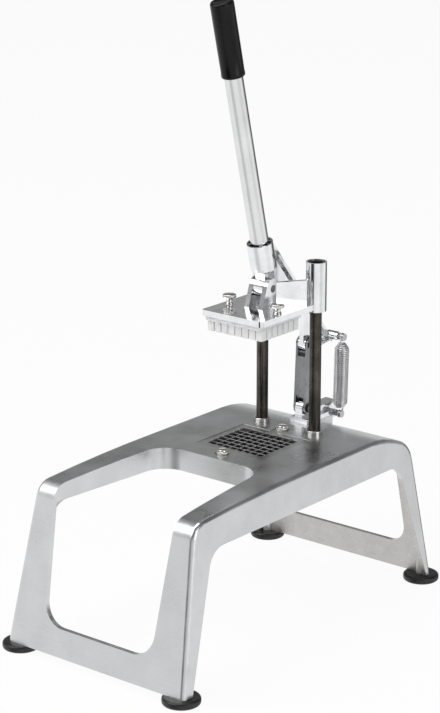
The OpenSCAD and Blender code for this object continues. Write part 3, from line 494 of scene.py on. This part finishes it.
GRIP = Finish("grip_vinyl", "grip_rubber", (0.003, 0.003, 0.0033), (0.007, 0.007, 0.0075), (0.2, 0.3),
              metallic=0.0, grain_size=0.0007, grain_depth=0.00001, blotch_size=0.02, blotch_depth=0.00005,
              specular=0.2)
NYLON = Finish("bush_nylon", "bush_nylon", (0.015, 0.015, 0.016), (0.035, 0.035, 0.037), (0.4, 0.55),
               metallic=0.0, grain_size=0.0006, grain_depth=0.00001, blotch_size=0.008)
PLASTIC = Finish("pusher_plastic", "pusher_plastic", (0.9, 0.9, 0.885), (0.96, 0.96, 0.95), (0.35, 0.5),
                 metallic=0.0, grain_size=0.0008, grain_depth=0.000008, blotch_size=0.02,
                 blotch_depth=0.00005, depth=0.006)


@dataclass
class Softening:
    """How a copy of a CAD solid gets the small rounds of a casting or a moulding."""

    width: float
    segments: int = 3
    bevel_angle: float = 34.0
    smooth_angle: float = 38.0
    flat_angle: float = 0.6
    merge: float = 0.002 * MM
    face_weight: int = 100

    def copy(self, node: str, name: str) -> bpy.types.Object:
        """Makes a softened copy of a CAD node.

        Args:
            node: the CAD node.
            name: the new piece's name.

        Returns:
            The new piece, which replaces the node.
        """
        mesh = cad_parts[node].data.copy()
        mesh.name = name
        piece = bpy.data.objects.new(name, mesh)
        bpy.context.scene.collection.objects.link(piece)
        shape = bmesh.new()
        shape.from_mesh(mesh)
        bmesh.ops.remove_doubles(shape, verts=shape.verts, dist=self.merge)
        bmesh.ops.dissolve_limit(shape, angle_limit=math.radians(self.flat_angle), verts=shape.verts,
                                 edges=shape.edges)
        shape.to_mesh(mesh)
        shape.free()
        if self.width > 0.0:
            bevel = piece.modifiers.new("rounds", "BEVEL")
            bevel.width = self.width
            bevel.segments = self.segments
            bevel.limit_method = "ANGLE"
            bevel.angle_limit = math.radians(self.bevel_angle)
            bevel.use_clamp_overlap = True
            apply_modifiers(piece)
        smooth(piece, self.smooth_angle)
        level = piece.modifiers.new("level_faces", "WEIGHTED_NORMAL")
        level.keep_sharp = True
        level.weight = self.face_weight
        apply_modifiers(piece)
        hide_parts(node)
        return piece


def apply_modifiers(piece: bpy.types.Object) -> None:
    """Turns a piece's modifiers into its mesh.

    Args:
        piece: a mesh object.
    """
    depsgraph = bpy.context.evaluated_depsgraph_get()
    mesh = bpy.data.meshes.new_from_object(piece.evaluated_get(depsgraph))
    piece.modifiers.clear()
    piece.data = mesh


def smooth(piece: bpy.types.Object, angle: float) -> None:
    """Shades a piece smoothly, with sharp edges above an angle.

    Args:
        piece: a mesh object.
        angle: in degrees.
    """
    for polygon in piece.data.polygons:
        polygon.use_smooth = True
    piece.data.set_sharp_from_angle(angle=math.radians(angle))


def mesh_piece(name: str, points: Sequence[Vector], faces: Sequence[Sequence[int]], angle: float
               ) -> bpy.types.Object:
    """Makes a smooth mesh piece.

    Args:
        name: the piece's name.
        points: its points.
        faces: its faces.
        angle: the least angle of a sharp edge, in degrees.

    Returns:
        The new piece.
    """
    mesh = bpy.data.meshes.new(name)
    mesh.from_pydata([tuple(p) for p in points], [], [tuple(f) for f in faces])
    mesh.validate()
    piece = bpy.data.objects.new(name, mesh)
    bpy.context.scene.collection.objects.link(piece)
    smooth(piece, angle)
    return piece


def ring_faces(rings: int, count: int) -> list[tuple[int, int, int, int]]:
    """Gives the faces between the rings of a closed profile turned all round.

    Args:
        rings: copies of the profile round the circle.
        count: points in the profile.

    Returns:
        The faces, as four point numbers each.
    """
    return [(i * count + k, ((i + 1) % rings) * count + k, ((i + 1) % rings) * count + (k + 1) % count,
             i * count + (k + 1) % count) for i in range(rings) for k in range(count)]


TURNED_STEPS = 96
TURNED_ANGLE = 50.0
RIDGE_SHARES = (0.0, 0.75, 1.0, 0.75)


def revolve(name: str, profile: Sequence[Spot]) -> bpy.types.Object:
    """Turns a closed profile round the Z axis.

    Args:
        name: the piece's name.
        profile: its points as (radius, height), in order.

    Returns:
        The new piece.
    """
    angles = [2 * math.pi * i / TURNED_STEPS for i in range(TURNED_STEPS)]
    points = [Vector((r * math.cos(a), r * math.sin(a), z)) for a in angles for r, z in profile]
    piece = mesh_piece(name, points, ring_faces(TURNED_STEPS, len(profile)), TURNED_ANGLE)
    close_seams(piece)
    return piece


def arc(centre: Spot, radius: float, sweep: Sweep) -> list[Spot]:
    """Gives points on an arc.

    Args:
        centre: the arc's centre.
        radius: its radius.
        sweep: its start and end, and its steps.

    Returns:
        The points, both ends included.
    """
    start, end, steps = sweep
    angles = [math.radians(start + (end - start) * i / steps) for i in range(steps + 1)]
    return [(centre[0] + radius * math.cos(a), centre[1] + radius * math.sin(a)) for a in angles]


def knurled(name: str, profile: Sequence[Row], teeth: int, depth: float) -> bpy.types.Object:
    """Turns a closed profile round Z, with fine ridges on the points that ask for them.

    Args:
        name: the piece's name.
        profile: its points as (radius in mm, height in mm, share of the ridges), in order.
        teeth: ridges round the circle.
        depth: depth of a ridge.

    Returns:
        The new piece.
    """
    wave = len(RIDGE_SHARES)
    steps = teeth * wave
    points = []
    for i in range(steps):
        a = 2 * math.pi * i / steps
        for r, z, share in profile:
            reach = r * MM - depth * share * RIDGE_SHARES[i % wave]
            points.append(Vector((reach * math.cos(a), reach * math.sin(a), z * MM)))
    piece = mesh_piece(name, points, ring_faces(steps, len(profile)), TURNED_ANGLE)
    close_seams(piece)
    return piece


def close_seams(piece: bpy.types.Object, merge: float = 0.0001 * MM) -> None:
    """Closes a turned piece's seams, points its faces outward and shades it.

    Args:
        piece: a mesh object.
        merge: points nearer than this become one.
    """
    shape = bmesh.new()
    shape.from_mesh(piece.data)
    bmesh.ops.remove_doubles(shape, verts=shape.verts, dist=merge)
    bmesh.ops.recalc_face_normals(shape, faces=shape.faces)
    shape.to_mesh(piece.data)
    shape.free()
    smooth(piece, TURNED_ANGLE)


def put(piece: bpy.types.Object, finish: Finish, body: Body) -> bpy.types.Object:
    """Dresses a piece, makes it ride and reports it.

    Args:
        piece: the piece, in place.
        finish: its finish.
        body: the body that it rides on.

    Returns:
        The same piece.
    """
    finish.dress(piece)
    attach(piece, body.value)
    LOG.info("%s rides on %s", piece.name, body.value)
    return piece


def dress_node(node: str, finish: Finish) -> None:
    """Gives a CAD node that stays a finish.

    Args:
        node: the node's name.
        finish: its finish.
    """
    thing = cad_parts[node]
    thing.data.materials.clear()
    thing.data.materials.append(finish.material())
    LOG.info("%s keeps its CAD solid in %s", node, finish.name)


@dataclass
class Camera:
    """The camera at the photograph's place."""

    place: Point = (1.56654, -1.94587, 1.05653)
    azimuth: float = 39.06
    pitch: float = 16.59
    lens: float = 115.93
    sensor: float = 36.0

    def build(self) -> None:
        """Creates the camera and makes it the scene's."""
        data = bpy.data.cameras.new("camera")
        data.lens = self.lens
        data.sensor_width = self.sensor
        camera = bpy.data.objects.new("camera", data)
        camera.location = self.place
        camera.rotation_euler = (math.radians(90.0 - self.pitch), 0.0, math.radians(self.azimuth))
        bpy.context.scene.collection.objects.link(camera)
        bpy.context.scene.camera = camera


@dataclass(frozen=True)
class Lamp:
    """A soft area lamp: where it hangs, the point that it faces, its width and height, and its watts."""

    name: str
    place: Point
    aim: Point
    size: Spot
    power: float

    def hang(self) -> None:
        """Creates the lamp."""
        data = bpy.data.lights.new(self.name, "AREA")
        data.shape = "RECTANGLE"
        data.size, data.size_y = self.size
        data.energy = self.power
        lamp = bpy.data.objects.new(self.name, data)
        lamp.location = self.place
        lamp.rotation_euler = (Vector(self.aim) - Vector(self.place)).to_track_quat("-Z", "Y").to_euler()
        bpy.context.scene.collection.objects.link(lamp)


@dataclass
class Studio:
    """A pale floor, a bright horizon under a dim ceiling, and soft lamps.

    The sky's stops are (height of the direction, level). The room's stops are (compass direction in
    degrees, level): it is white, with dark gaps that polished metal shows, and gap_heights says how
    strongly they count at each height.
    """

    floor_half: float = 30.0
    floor_tone: Colour = (0.9, 0.9, 0.9)
    backdrop_share: float = 0.94
    sky: tuple[Spot, ...] = ((0.0, 1.0), (0.05, 0.95), (0.13, 0.6), (0.27, 0.3), (0.5, 0.16), (1.0, 0.14))
    room: tuple[Spot, ...] = ((-180.0, 0.95), (-140.0, 1.0), (-118.0, 1.0), (-110.0, 0.04), (-81.0, 0.04),
                              (-71.0, 0.9), (-42.0, 1.0), (-18.0, 1.0), (-9.0, 0.8), (12.0, 0.8),
                              (24.0, 0.95), (42.0, 1.0), (52.0, 1.0), (60.0, 0.75), (72.0, 0.1),
                              (98.0, 0.1), (115.0, 0.9), (180.0, 0.95))
    gap_heights: tuple[Spot, ...] = ((-1.0, 0.3), (-0.46, 0.3), (-0.34, 1.0), (0.03, 1.0), (0.14, 0.0),
                                     (1.0, 0.0))
    lamps: tuple[Lamp, ...] = (
        Lamp("key", (-1.5, -2.4, 3.0), (0.0, 0.0, 0.3), (3.8, 3.0), 98.0),
        Lamp("side", (2.6, -0.3, 1.2), (0.0, 0.0, 0.25), (1.6, 2.2), 18.0),
        Lamp("top", (-0.3, -0.1, 3.2), (0.0, 0.0, 0.3), (1.6, 1.6), 28.0),
    )

    def build(self) -> None:
        """Makes the floor, the world and the lamps, and settles the view."""
        self._floor()
        self._world()
        for lamp in self.lamps:
            lamp.hang()
        bpy.context.scene.view_settings.view_transform = "Standard"

    def _floor(self) -> None:
        """Lays the floor: a white backdrop that takes the shadow, and that glossy rays pass through."""
        h = self.floor_half
        corners = [Vector((-h, -h, 0.0)), Vector((h, -h, 0.0)), Vector((h, h, 0.0)), Vector((-h, h, 0.0))]
        floor = mesh_piece("floor", corners, [(0, 1, 2, 3)], TURNED_ANGLE)
        g = Graph(bpy.data.materials.new("floor"))
        g.surface.inputs["Base Color"].default_value = (*self.floor_tone, 1.0)
        g.surface.inputs["Roughness"].default_value = 1.0
        g.surface.inputs["Specular IOR Level"].default_value = 0.0
        path = g.add("LightPath")
        direct = g.add("Math", operation="MAXIMUM")
        g.link(path.outputs["Is Camera Ray"], direct.inputs[0])
        g.link(path.outputs["Is Transmission Ray"], direct.inputs[1])
        share = g.add("Math", operation="MULTIPLY")
        g.link(direct.outputs["Value"], share.inputs[0])
        share.inputs[1].default_value = self.backdrop_share
        white = g.either(share.outputs["Value"], g.surface.outputs["BSDF"],
                         g.add("Emission", Strength=1.0).outputs["Emission"])
        clear = g.either(path.outputs["Is Glossy Ray"], white, g.add("BsdfTransparent").outputs["BSDF"])
        g.link(clear, g.tree.nodes["Material Output"].inputs["Surface"])
        floor.data.materials.append(g.owner)

    def _world(self) -> None:
        """Makes the world: the sky's level by height, times the room's dark gaps."""
        world = bpy.data.worlds.new("studio")
        bpy.context.scene.world = world
        g = Graph(world, "Background")
        where = g.add("TexCoord").outputs["Generated"]
        parts = g.add("SeparateXYZ")
        g.link(where, parts.inputs["Vector"])
        height = g.greys(parts.outputs["Z"], 0.0, 1.0, self.sky)
        depth = g.greys(parts.outputs["Z"], -1.0, 1.0, self.gap_heights)
        g.link(g.mix("MULTIPLY", depth, height, g.around(where, self.room)), g.surface.inputs["Color"])
        g.surface.inputs["Strength"].default_value = 1.0


@dataclass
class BaseCasting:
    """The arched base with its feet and the screws under it."""

    round_width: float = 1.6 * MM
    foot_radius: float = 21.5 * MM
    foot_height: float = 8.5 * MM
    foot_bore: float = 2.56 * MM
    foot_recess: float = 4.9 * MM
    foot_round: float = 3.0 * MM
    foot_low_arc: Sweep = (-70.0, 0.0, 5)
    foot_top_arc: Sweep = (0.0, 80.0, 6)
    foot_under_share: float = 0.86
    foot_top_share: float = 0.78
    foot_x: float = 118.0 * MM
    foot_y: float = 226.5 * MM
    wall_x: float = 92.0 * MM
    wall_y: float = 185.0 * MM
    wall_facing: float = 0.8
    roof_facing: float = 0.5

    def _foot(self, name: str, node: str, x: float, y: float) -> None:
        """Turns one foot: a flat rubber disc with a round rim, bored and recessed for its screw.

        Args:
            name: the piece's name.
            node: the CAD node that it replaces.
            x: its centre, across.
            y: its centre, front to back.
        """
        r, h, e = self.foot_radius, self.foot_height, self.foot_round
        profile = [(self.foot_recess, 0.0), (r * self.foot_under_share, 0.0)]
        profile += arc((r - e, e), e, self.foot_low_arc)
        profile += arc((r - e, h - e), e, self.foot_top_arc)
        profile += [(r * self.foot_top_share, h), (self.foot_bore, h), (self.foot_bore, h / 2)]
        profile += [(self.foot_recess, h / 2)]
        foot = revolve(name, profile)
        foot.location = (x, y, 0.0)
        put(foot, RUBBER, Body.BASE)
        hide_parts(node)

    def _dress_inside(self, shell: bpy.types.Object) -> None:
        """Gives the faces that look into the arch the rough skin that no belt has reached.

        Args:
            shell: the casting, already dressed outside.
        """
        inside = len(shell.data.materials)
        shell.data.materials.append(CAST_INNER.material())
        for face in shell.data.polygons:
            c, n = face.center, face.normal
            across = abs(n.x) > self.wall_facing and n.x * c.x < 0.0 and abs(c.x) > self.wall_x
            along = abs(n.y) > self.wall_facing and n.y * c.y < 0.0 and abs(c.y) > self.wall_y
            roof = n.z < -self.roof_facing and abs(c.x) < self.wall_x
            if across or along or roof:
                face.material_index = inside

    def build(self) -> None:
        """Builds the casting and the feet."""
        shell = put(Softening(self.round_width).copy("base_casting", "base_shell"), CAST, Body.BASE)
        self._dress_inside(shell)
        for end, y in (("front", -self.foot_y), ("rear", self.foot_y)):
            for side, x in (("left", -self.foot_x), ("right", self.foot_x)):
                self._foot(f"rubber_foot_{end}_{side}", f"foot_{end}_{side}", x, y)
        dress_node("foot_screws", SCREW_STEEL)


@dataclass
class KnifeGrid:
    """The knife frame, its crossed blades and its knurled thumb screws."""

    frame_round: float = 0.35 * MM
    centre_y: float = 45.0 * MM
    screw_y: float = 56.0 * MM
    top: float = 198.4 * MM
    screw_profile: tuple[Row, ...] = (
        (0.0, -11.5, 0.0), (2.4, -11.5, 0.0), (3.0, -10.9, 0.0), (3.0, 0.0, 0.0), (6.84, 0.0, 0.0),
        (7.372, 0.35, 1.0), (7.372, 3.12, 1.0), (6.84, 3.6, 0.3), (5.472, 3.84, 0.0), (5.168, 5.64, 0.0),
        (4.712, 6.0, 0.0), (0.0, 5.94, 0.0),
    )
    teeth: int = 36
    ridge: float = 0.35 * MM

    def _screw(self, end: str, y: float) -> None:
        """Turns one knurled thumb screw.

        Args:
            end: front or rear.
            y: its centre.
        """
        screw = knurled(f"thumb_screw_{end}", self.screw_profile, self.teeth, self.ridge)
        screw.location = (0.0, y, self.top)
        put(screw, BRIGHT, Body.BASE)
        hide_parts(f"grid_screw_{end}")

    def build(self) -> None:
        """Dresses the grid and builds its screws."""
        frame_piece = Softening(self.frame_round, segments=2).copy("knife_frame", "grid_frame")
        put(frame_piece, FRAME_STEEL, Body.BASE)
        dress_node("blades_long", BLADE_STEEL_PAINTED_SHADE)
        dress_node("blades_cross", BLADE_STEEL_PAINTED_SHADE)
        self._screw("front", self.centre_y - self.screw_y)
        self._screw("rear", self.centre_y + self.screw_y)


@dataclass
class Columns:
    """The two columns with their collars and nuts."""

    def build(self) -> None:
        """Dresses the columns."""
        for side in ("left", "right"):
            dress_node(f"column_{side}", COLUMN_STEEL)
        dress_node("column_collars", BRIGHT)
        dress_node("column_nuts", SCREW_STEEL)


@dataclass
class RearBracket:
    """The bracket that holds the link and the spring."""

    round_width: float = 0.8 * MM

    def build(self) -> None:
        """Builds the bracket and dresses its small parts."""
        put(Softening(self.round_width).copy("rear_bracket", "bracket_body"), HEAD_CAST, Body.BASE)
        dress_node("bracket_screws", SCREW_STEEL)
        dress_node("link_lower_bush", BRONZE)
        dress_node("spring_pin_lower", SCREW_STEEL)


@dataclass
class Head:
    """The sliding head with its bushes, pusher and knobs."""

    round_width: float = 0.9 * MM
    pusher_round: float = 0.35 * MM
    plate_top: float = 359.2 * MM
    knob_x: float = 35.0 * MM
    knob_y: float = 45.0 * MM
    knob_profile: tuple[Row, ...] = (
        (0.0, -16.0, 0.0), (3.0, -16.0, 0.0), (3.0, 0.0, 0.0), (4.8, 0.0, 0.0), (5.0, 0.5, 0.0),
        (5.0, 1.6, 0.0), (3.9, 2.4, 0.0), (3.7, 4.526, 0.0), (4.25, 6.424, 0.0), (7.2, 7.3, 0.0),
        (7.92, 7.8, 1.0), (7.92, 10.6, 1.0), (7.2, 11.4, 0.2), (5.6, 11.8, 0.0), (0.0, 11.7764, 0.0),
    )
    teeth: int = 40
    ridge: float = 0.35 * MM

    def _knob(self, side: str, x: float) -> None:
        """Turns one clamping knob: a knurled mushroom head on a waisted neck.

        Args:
            side: left or right.
            x: its centre.
        """
        knob = knurled(f"clamp_knob_{side}", self.knob_profile, self.teeth, self.ridge)
        knob.location = (x, self.knob_y, self.plate_top)
        put(knob, BRIGHT, Body.HEAD)
        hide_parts(f"knob_{side}")

    def build(self) -> None:
        """Builds the head, the pusher and the knobs."""
        put(Softening(self.round_width).copy("head_casting", "head_body"), HEAD_CAST, Body.HEAD)
        pusher = Softening(self.pusher_round, segments=2).copy("pusher_block", "pusher_body")
        put(pusher, PLASTIC, Body.HEAD)
        for side, x in (("left", -self.knob_x), ("right", self.knob_x)):
            dress_node(f"guide_bush_{side}", NYLON)
            self._knob(side, x)
        dress_node("lever_pivot_pin", PIN_STEEL)


@dataclass
class Lever:
    """The lever casting with its tube and grip."""

    round_width: float = 0.8 * MM
    pivot: Point = (0.0, 65.0 * MM, 380.5 * MM)
    lean: float = 13.8
    tube_offset: float = 4.5 * MM
    tube_radius: float = 10.67 * MM
    grip_radius: float = 13.4 * MM
    grip_low: float = 258.0 * MM
    grip_top: float = 345.0 * MM
    grip_end: float = 4.0 * MM
    grip_lip: float = 0.9 * MM
    grip_lip_arc: Sweep = (-90.0, 0.0, 5)
    grip_side: tuple[Spot, ...] = ((0.0, 4.0), (0.25, 4.6), (0.1, 30.0), (0.05, 67.0))
    grip_crown: float = 3.4 * MM
    grip_crown_arc: Sweep = (0.0, 82.0, 8)
    grip_dish: tuple[Spot, ...] = ((8.308, 0.1), (7.772, 0.7), (0.0, 0.8))

    def _grip(self) -> None:
        """Turns the grip: a moulded sleeve with a rolled lip, a rounded crown and a dished end.

        The side's points say how deep they lie under the grip's radius and how high over its lower
        end, and the dish's points say their radius and how deep they lie under its top, all in mm.
        """
        r, top, low = self.grip_radius, self.grip_top, self.grip_low
        lip, crown = self.grip_lip, self.grip_crown
        profile = [(self.tube_radius, low), (r - lip, low)]
        profile += arc((r - lip, low + lip), lip, self.grip_lip_arc)[1:]
        profile += [(r - sunk * MM, low + up * MM) for sunk, up in self.grip_side]
        profile += arc((r - crown, top - crown), crown, self.grip_crown_arc)
        profile += [(radius * MM, top - down * MM) for radius, down in self.grip_dish]
        profile += [(0.0, top - self.grip_end), (self.tube_radius, top - self.grip_end)]
        grip = revolve("grip_sleeve", profile)
        lean = Matrix.Rotation(math.radians(self.lean), 4, "X")
        grip.matrix_world = (Matrix.Translation(self.pivot) @ lean
                             @ Matrix.Translation((0.0, self.tube_offset, 0.0)))
        put(grip, GRIP, Body.LEVER)
        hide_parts("handle_grip")

    def build(self) -> None:
        """Builds the lever."""
        put(Softening(self.round_width).copy("lever_casting", "lever_body"), HEAD_CAST, Body.LEVER)
        dress_node("handle_tube", SATIN_TUBE)
        self._grip()
        dress_node("lever_eye_bush", BRONZE)
        dress_node("lever_eye_pin", PIN_STEEL)


@dataclass
class Link:
    """The link between bracket and lever."""

    round_width: float = 0.8 * MM

    def build(self) -> None:
        """Builds the link and dresses its pins."""
        put(Softening(self.round_width).copy("link_bar", "link_body"), LINK_CAST_PAINTED_SHADE, Body.LINK)
        dress_node("link_lower_pin", PIN_STEEL)
        dress_node("link_upper_pins", PIN_STEEL)


@dataclass
class ReturnSpring:
    """The wound return spring with a loop at each end."""

    low: Point = (0.0175, 0.192, 0.1995)
    top: Point = (0.0175, 0.195, 0.295)
    pin_radius: float = 3.0 * MM
    wire_radius: float = 0.9 * MM
    coil_radius: float = 9.0 * MM
    cone_radius: float = 3.6 * MM
    pitch: float = 2.27 * MM
    curls: int = 36
    cone_curls: int = 3
    rings_a_curl: int = 24
    rings_a_loop: int = 48
    rings_a_bend: int = 14
    sides: int = 10
    loop_gap: float = 0.15 * MM
    smooth_angle: float = 60.0
    still_share: float = 0.08

    @property
    def length(self) -> float:
        """The distance between the two pins."""
        return (Vector(self.top) - Vector(self.low)).length

    @property
    def loop_radius(self) -> float:
        """From a pin's axis to the middle of the wire round it."""
        return self.pin_radius + self.wire_radius + self.loop_gap

    @property
    def turns(self) -> float:
        """Turns of the coil, half a turn short, so that its top end is the lower one turned over."""
        return self.curls - 0.5

    @property
    def coil_low(self) -> float:
        """From the lower pin up to the coil's first turn."""
        return (self.length - self.turns * self.pitch) / 2

    def _loop(self) -> list[Vector]:
        """Gives the lower loop, in the spring's own frame."""
        r = self.loop_radius
        count = 3 * self.rings_a_loop // 4
        angles = [math.radians(-270 + i * 360 / self.rings_a_loop) for i in range(count + 1)]
        return [Vector((0.0, r * math.cos(a), r * math.sin(a))) for a in angles]

    def _bend(self) -> list[Vector]:
        """Gives the wire's way from the lower loop into the coil."""
        k = self.coil_low / 2
        start, end = Vector((0.0, self.loop_radius, 0.0)), Vector((0.0, self.cone_radius, self.coil_low))
        fall = k * self.pitch / (2 * math.pi * self.cone_radius)
        p = (start, start + Vector((0, 0, k)), end + Vector((k, 0, -fall)), end)
        out = []
        for i in range(1, self.rings_a_bend):
            t = i / self.rings_a_bend
            u = 1 - t
            out.append(u ** 3 * p[0] + 3 * t * u ** 2 * p[1] + 3 * t * t * u * p[2] + t ** 3 * p[3])
        return out

    def _coil(self) -> list[Vector]:
        """Gives the coil, drawn in at both ends."""
        out = []
        mean = self.coil_radius - self.wire_radius
        for i in range(int(self.turns * self.rings_a_curl) + 1):
            t = i / self.rings_a_curl
            share = min(1.0, min(t, self.turns - t) / self.cone_curls)
            r = self.cone_radius + (mean - self.cone_radius) * share
            a = math.radians(90 + 360 * t)
            out.append(Vector((r * math.cos(a), r * math.sin(a), self.coil_low + t * self.pitch)))
        return out

    def _path(self) -> list[Vector]:
        """Gives the whole wire's middle line, in the frame of the model."""
        first = self._loop() + self._bend()
        other = [Vector((p.x, -p.y, self.length - p.z)) for p in reversed(first)]
        lean = math.atan2(self.top[2] - self.low[2], self.top[1] - self.low[1]) - math.pi / 2
        place = Matrix.Translation(self.low) @ Matrix.Rotation(lean, 4, "X")
        return [place @ p for p in first + self._coil() + other]

    def _wire(self) -> bpy.types.Object:
        """Winds the wire: a ring of points round each point of its way, closed at both ends."""
        path = self._path()
        last = len(path) - 1
        across = Vector((1.0, 0.0, 0.0))
        points: list[Vector] = []
        for i, p in enumerate(path):
            along = (path[min(i + 1, last)] - path[max(i - 1, 0)]).normalized()
            across = (across - across.dot(along) * along).normalized()
            other = along.cross(across)
            for k in range(self.sides):
                a = 2 * math.pi * k / self.sides
                points.append(p + self.wire_radius * (math.cos(a) * across + math.sin(a) * other))
        n = self.sides
        faces: list[Sequence[int]] = [
            (i * n + k, i * n + (k + 1) % n, (i + 1) * n + (k + 1) % n, (i + 1) * n + k)
            for i in range(last) for k in range(n)
        ]
        faces += [tuple(range(n))[::-1], tuple(range(last * n, last * n + n))]
        return mesh_piece("spring_wire", points, faces, self.smooth_angle)

    def build(self) -> None:
        """Makes the wire in its place, hides the CAD spring and dresses the upper pin."""
        wire = self._wire()
        SPRING_STEEL.dress(wire)
        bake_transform(wire)
        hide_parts("return_spring")
        dress_node("spring_pin_upper", SCREW_STEEL)
        LOG.info("spring_wire stretches between spring and spring_top")


def main() -> None:
    """Builds the scene, piece by piece."""
    logging.basicConfig(level=logging.INFO, format="%(message)s")
    builders: tuple[Callable[[], None], ...] = (
        Camera().build, Studio().build, BaseCasting().build, KnifeGrid().build, Columns().build,
        RearBracket().build, Head().build, Lever().build, Link().build, ReturnSpring().build,
    )
    for build in builders:
        build()


if __name__ == "__main__":
    main()
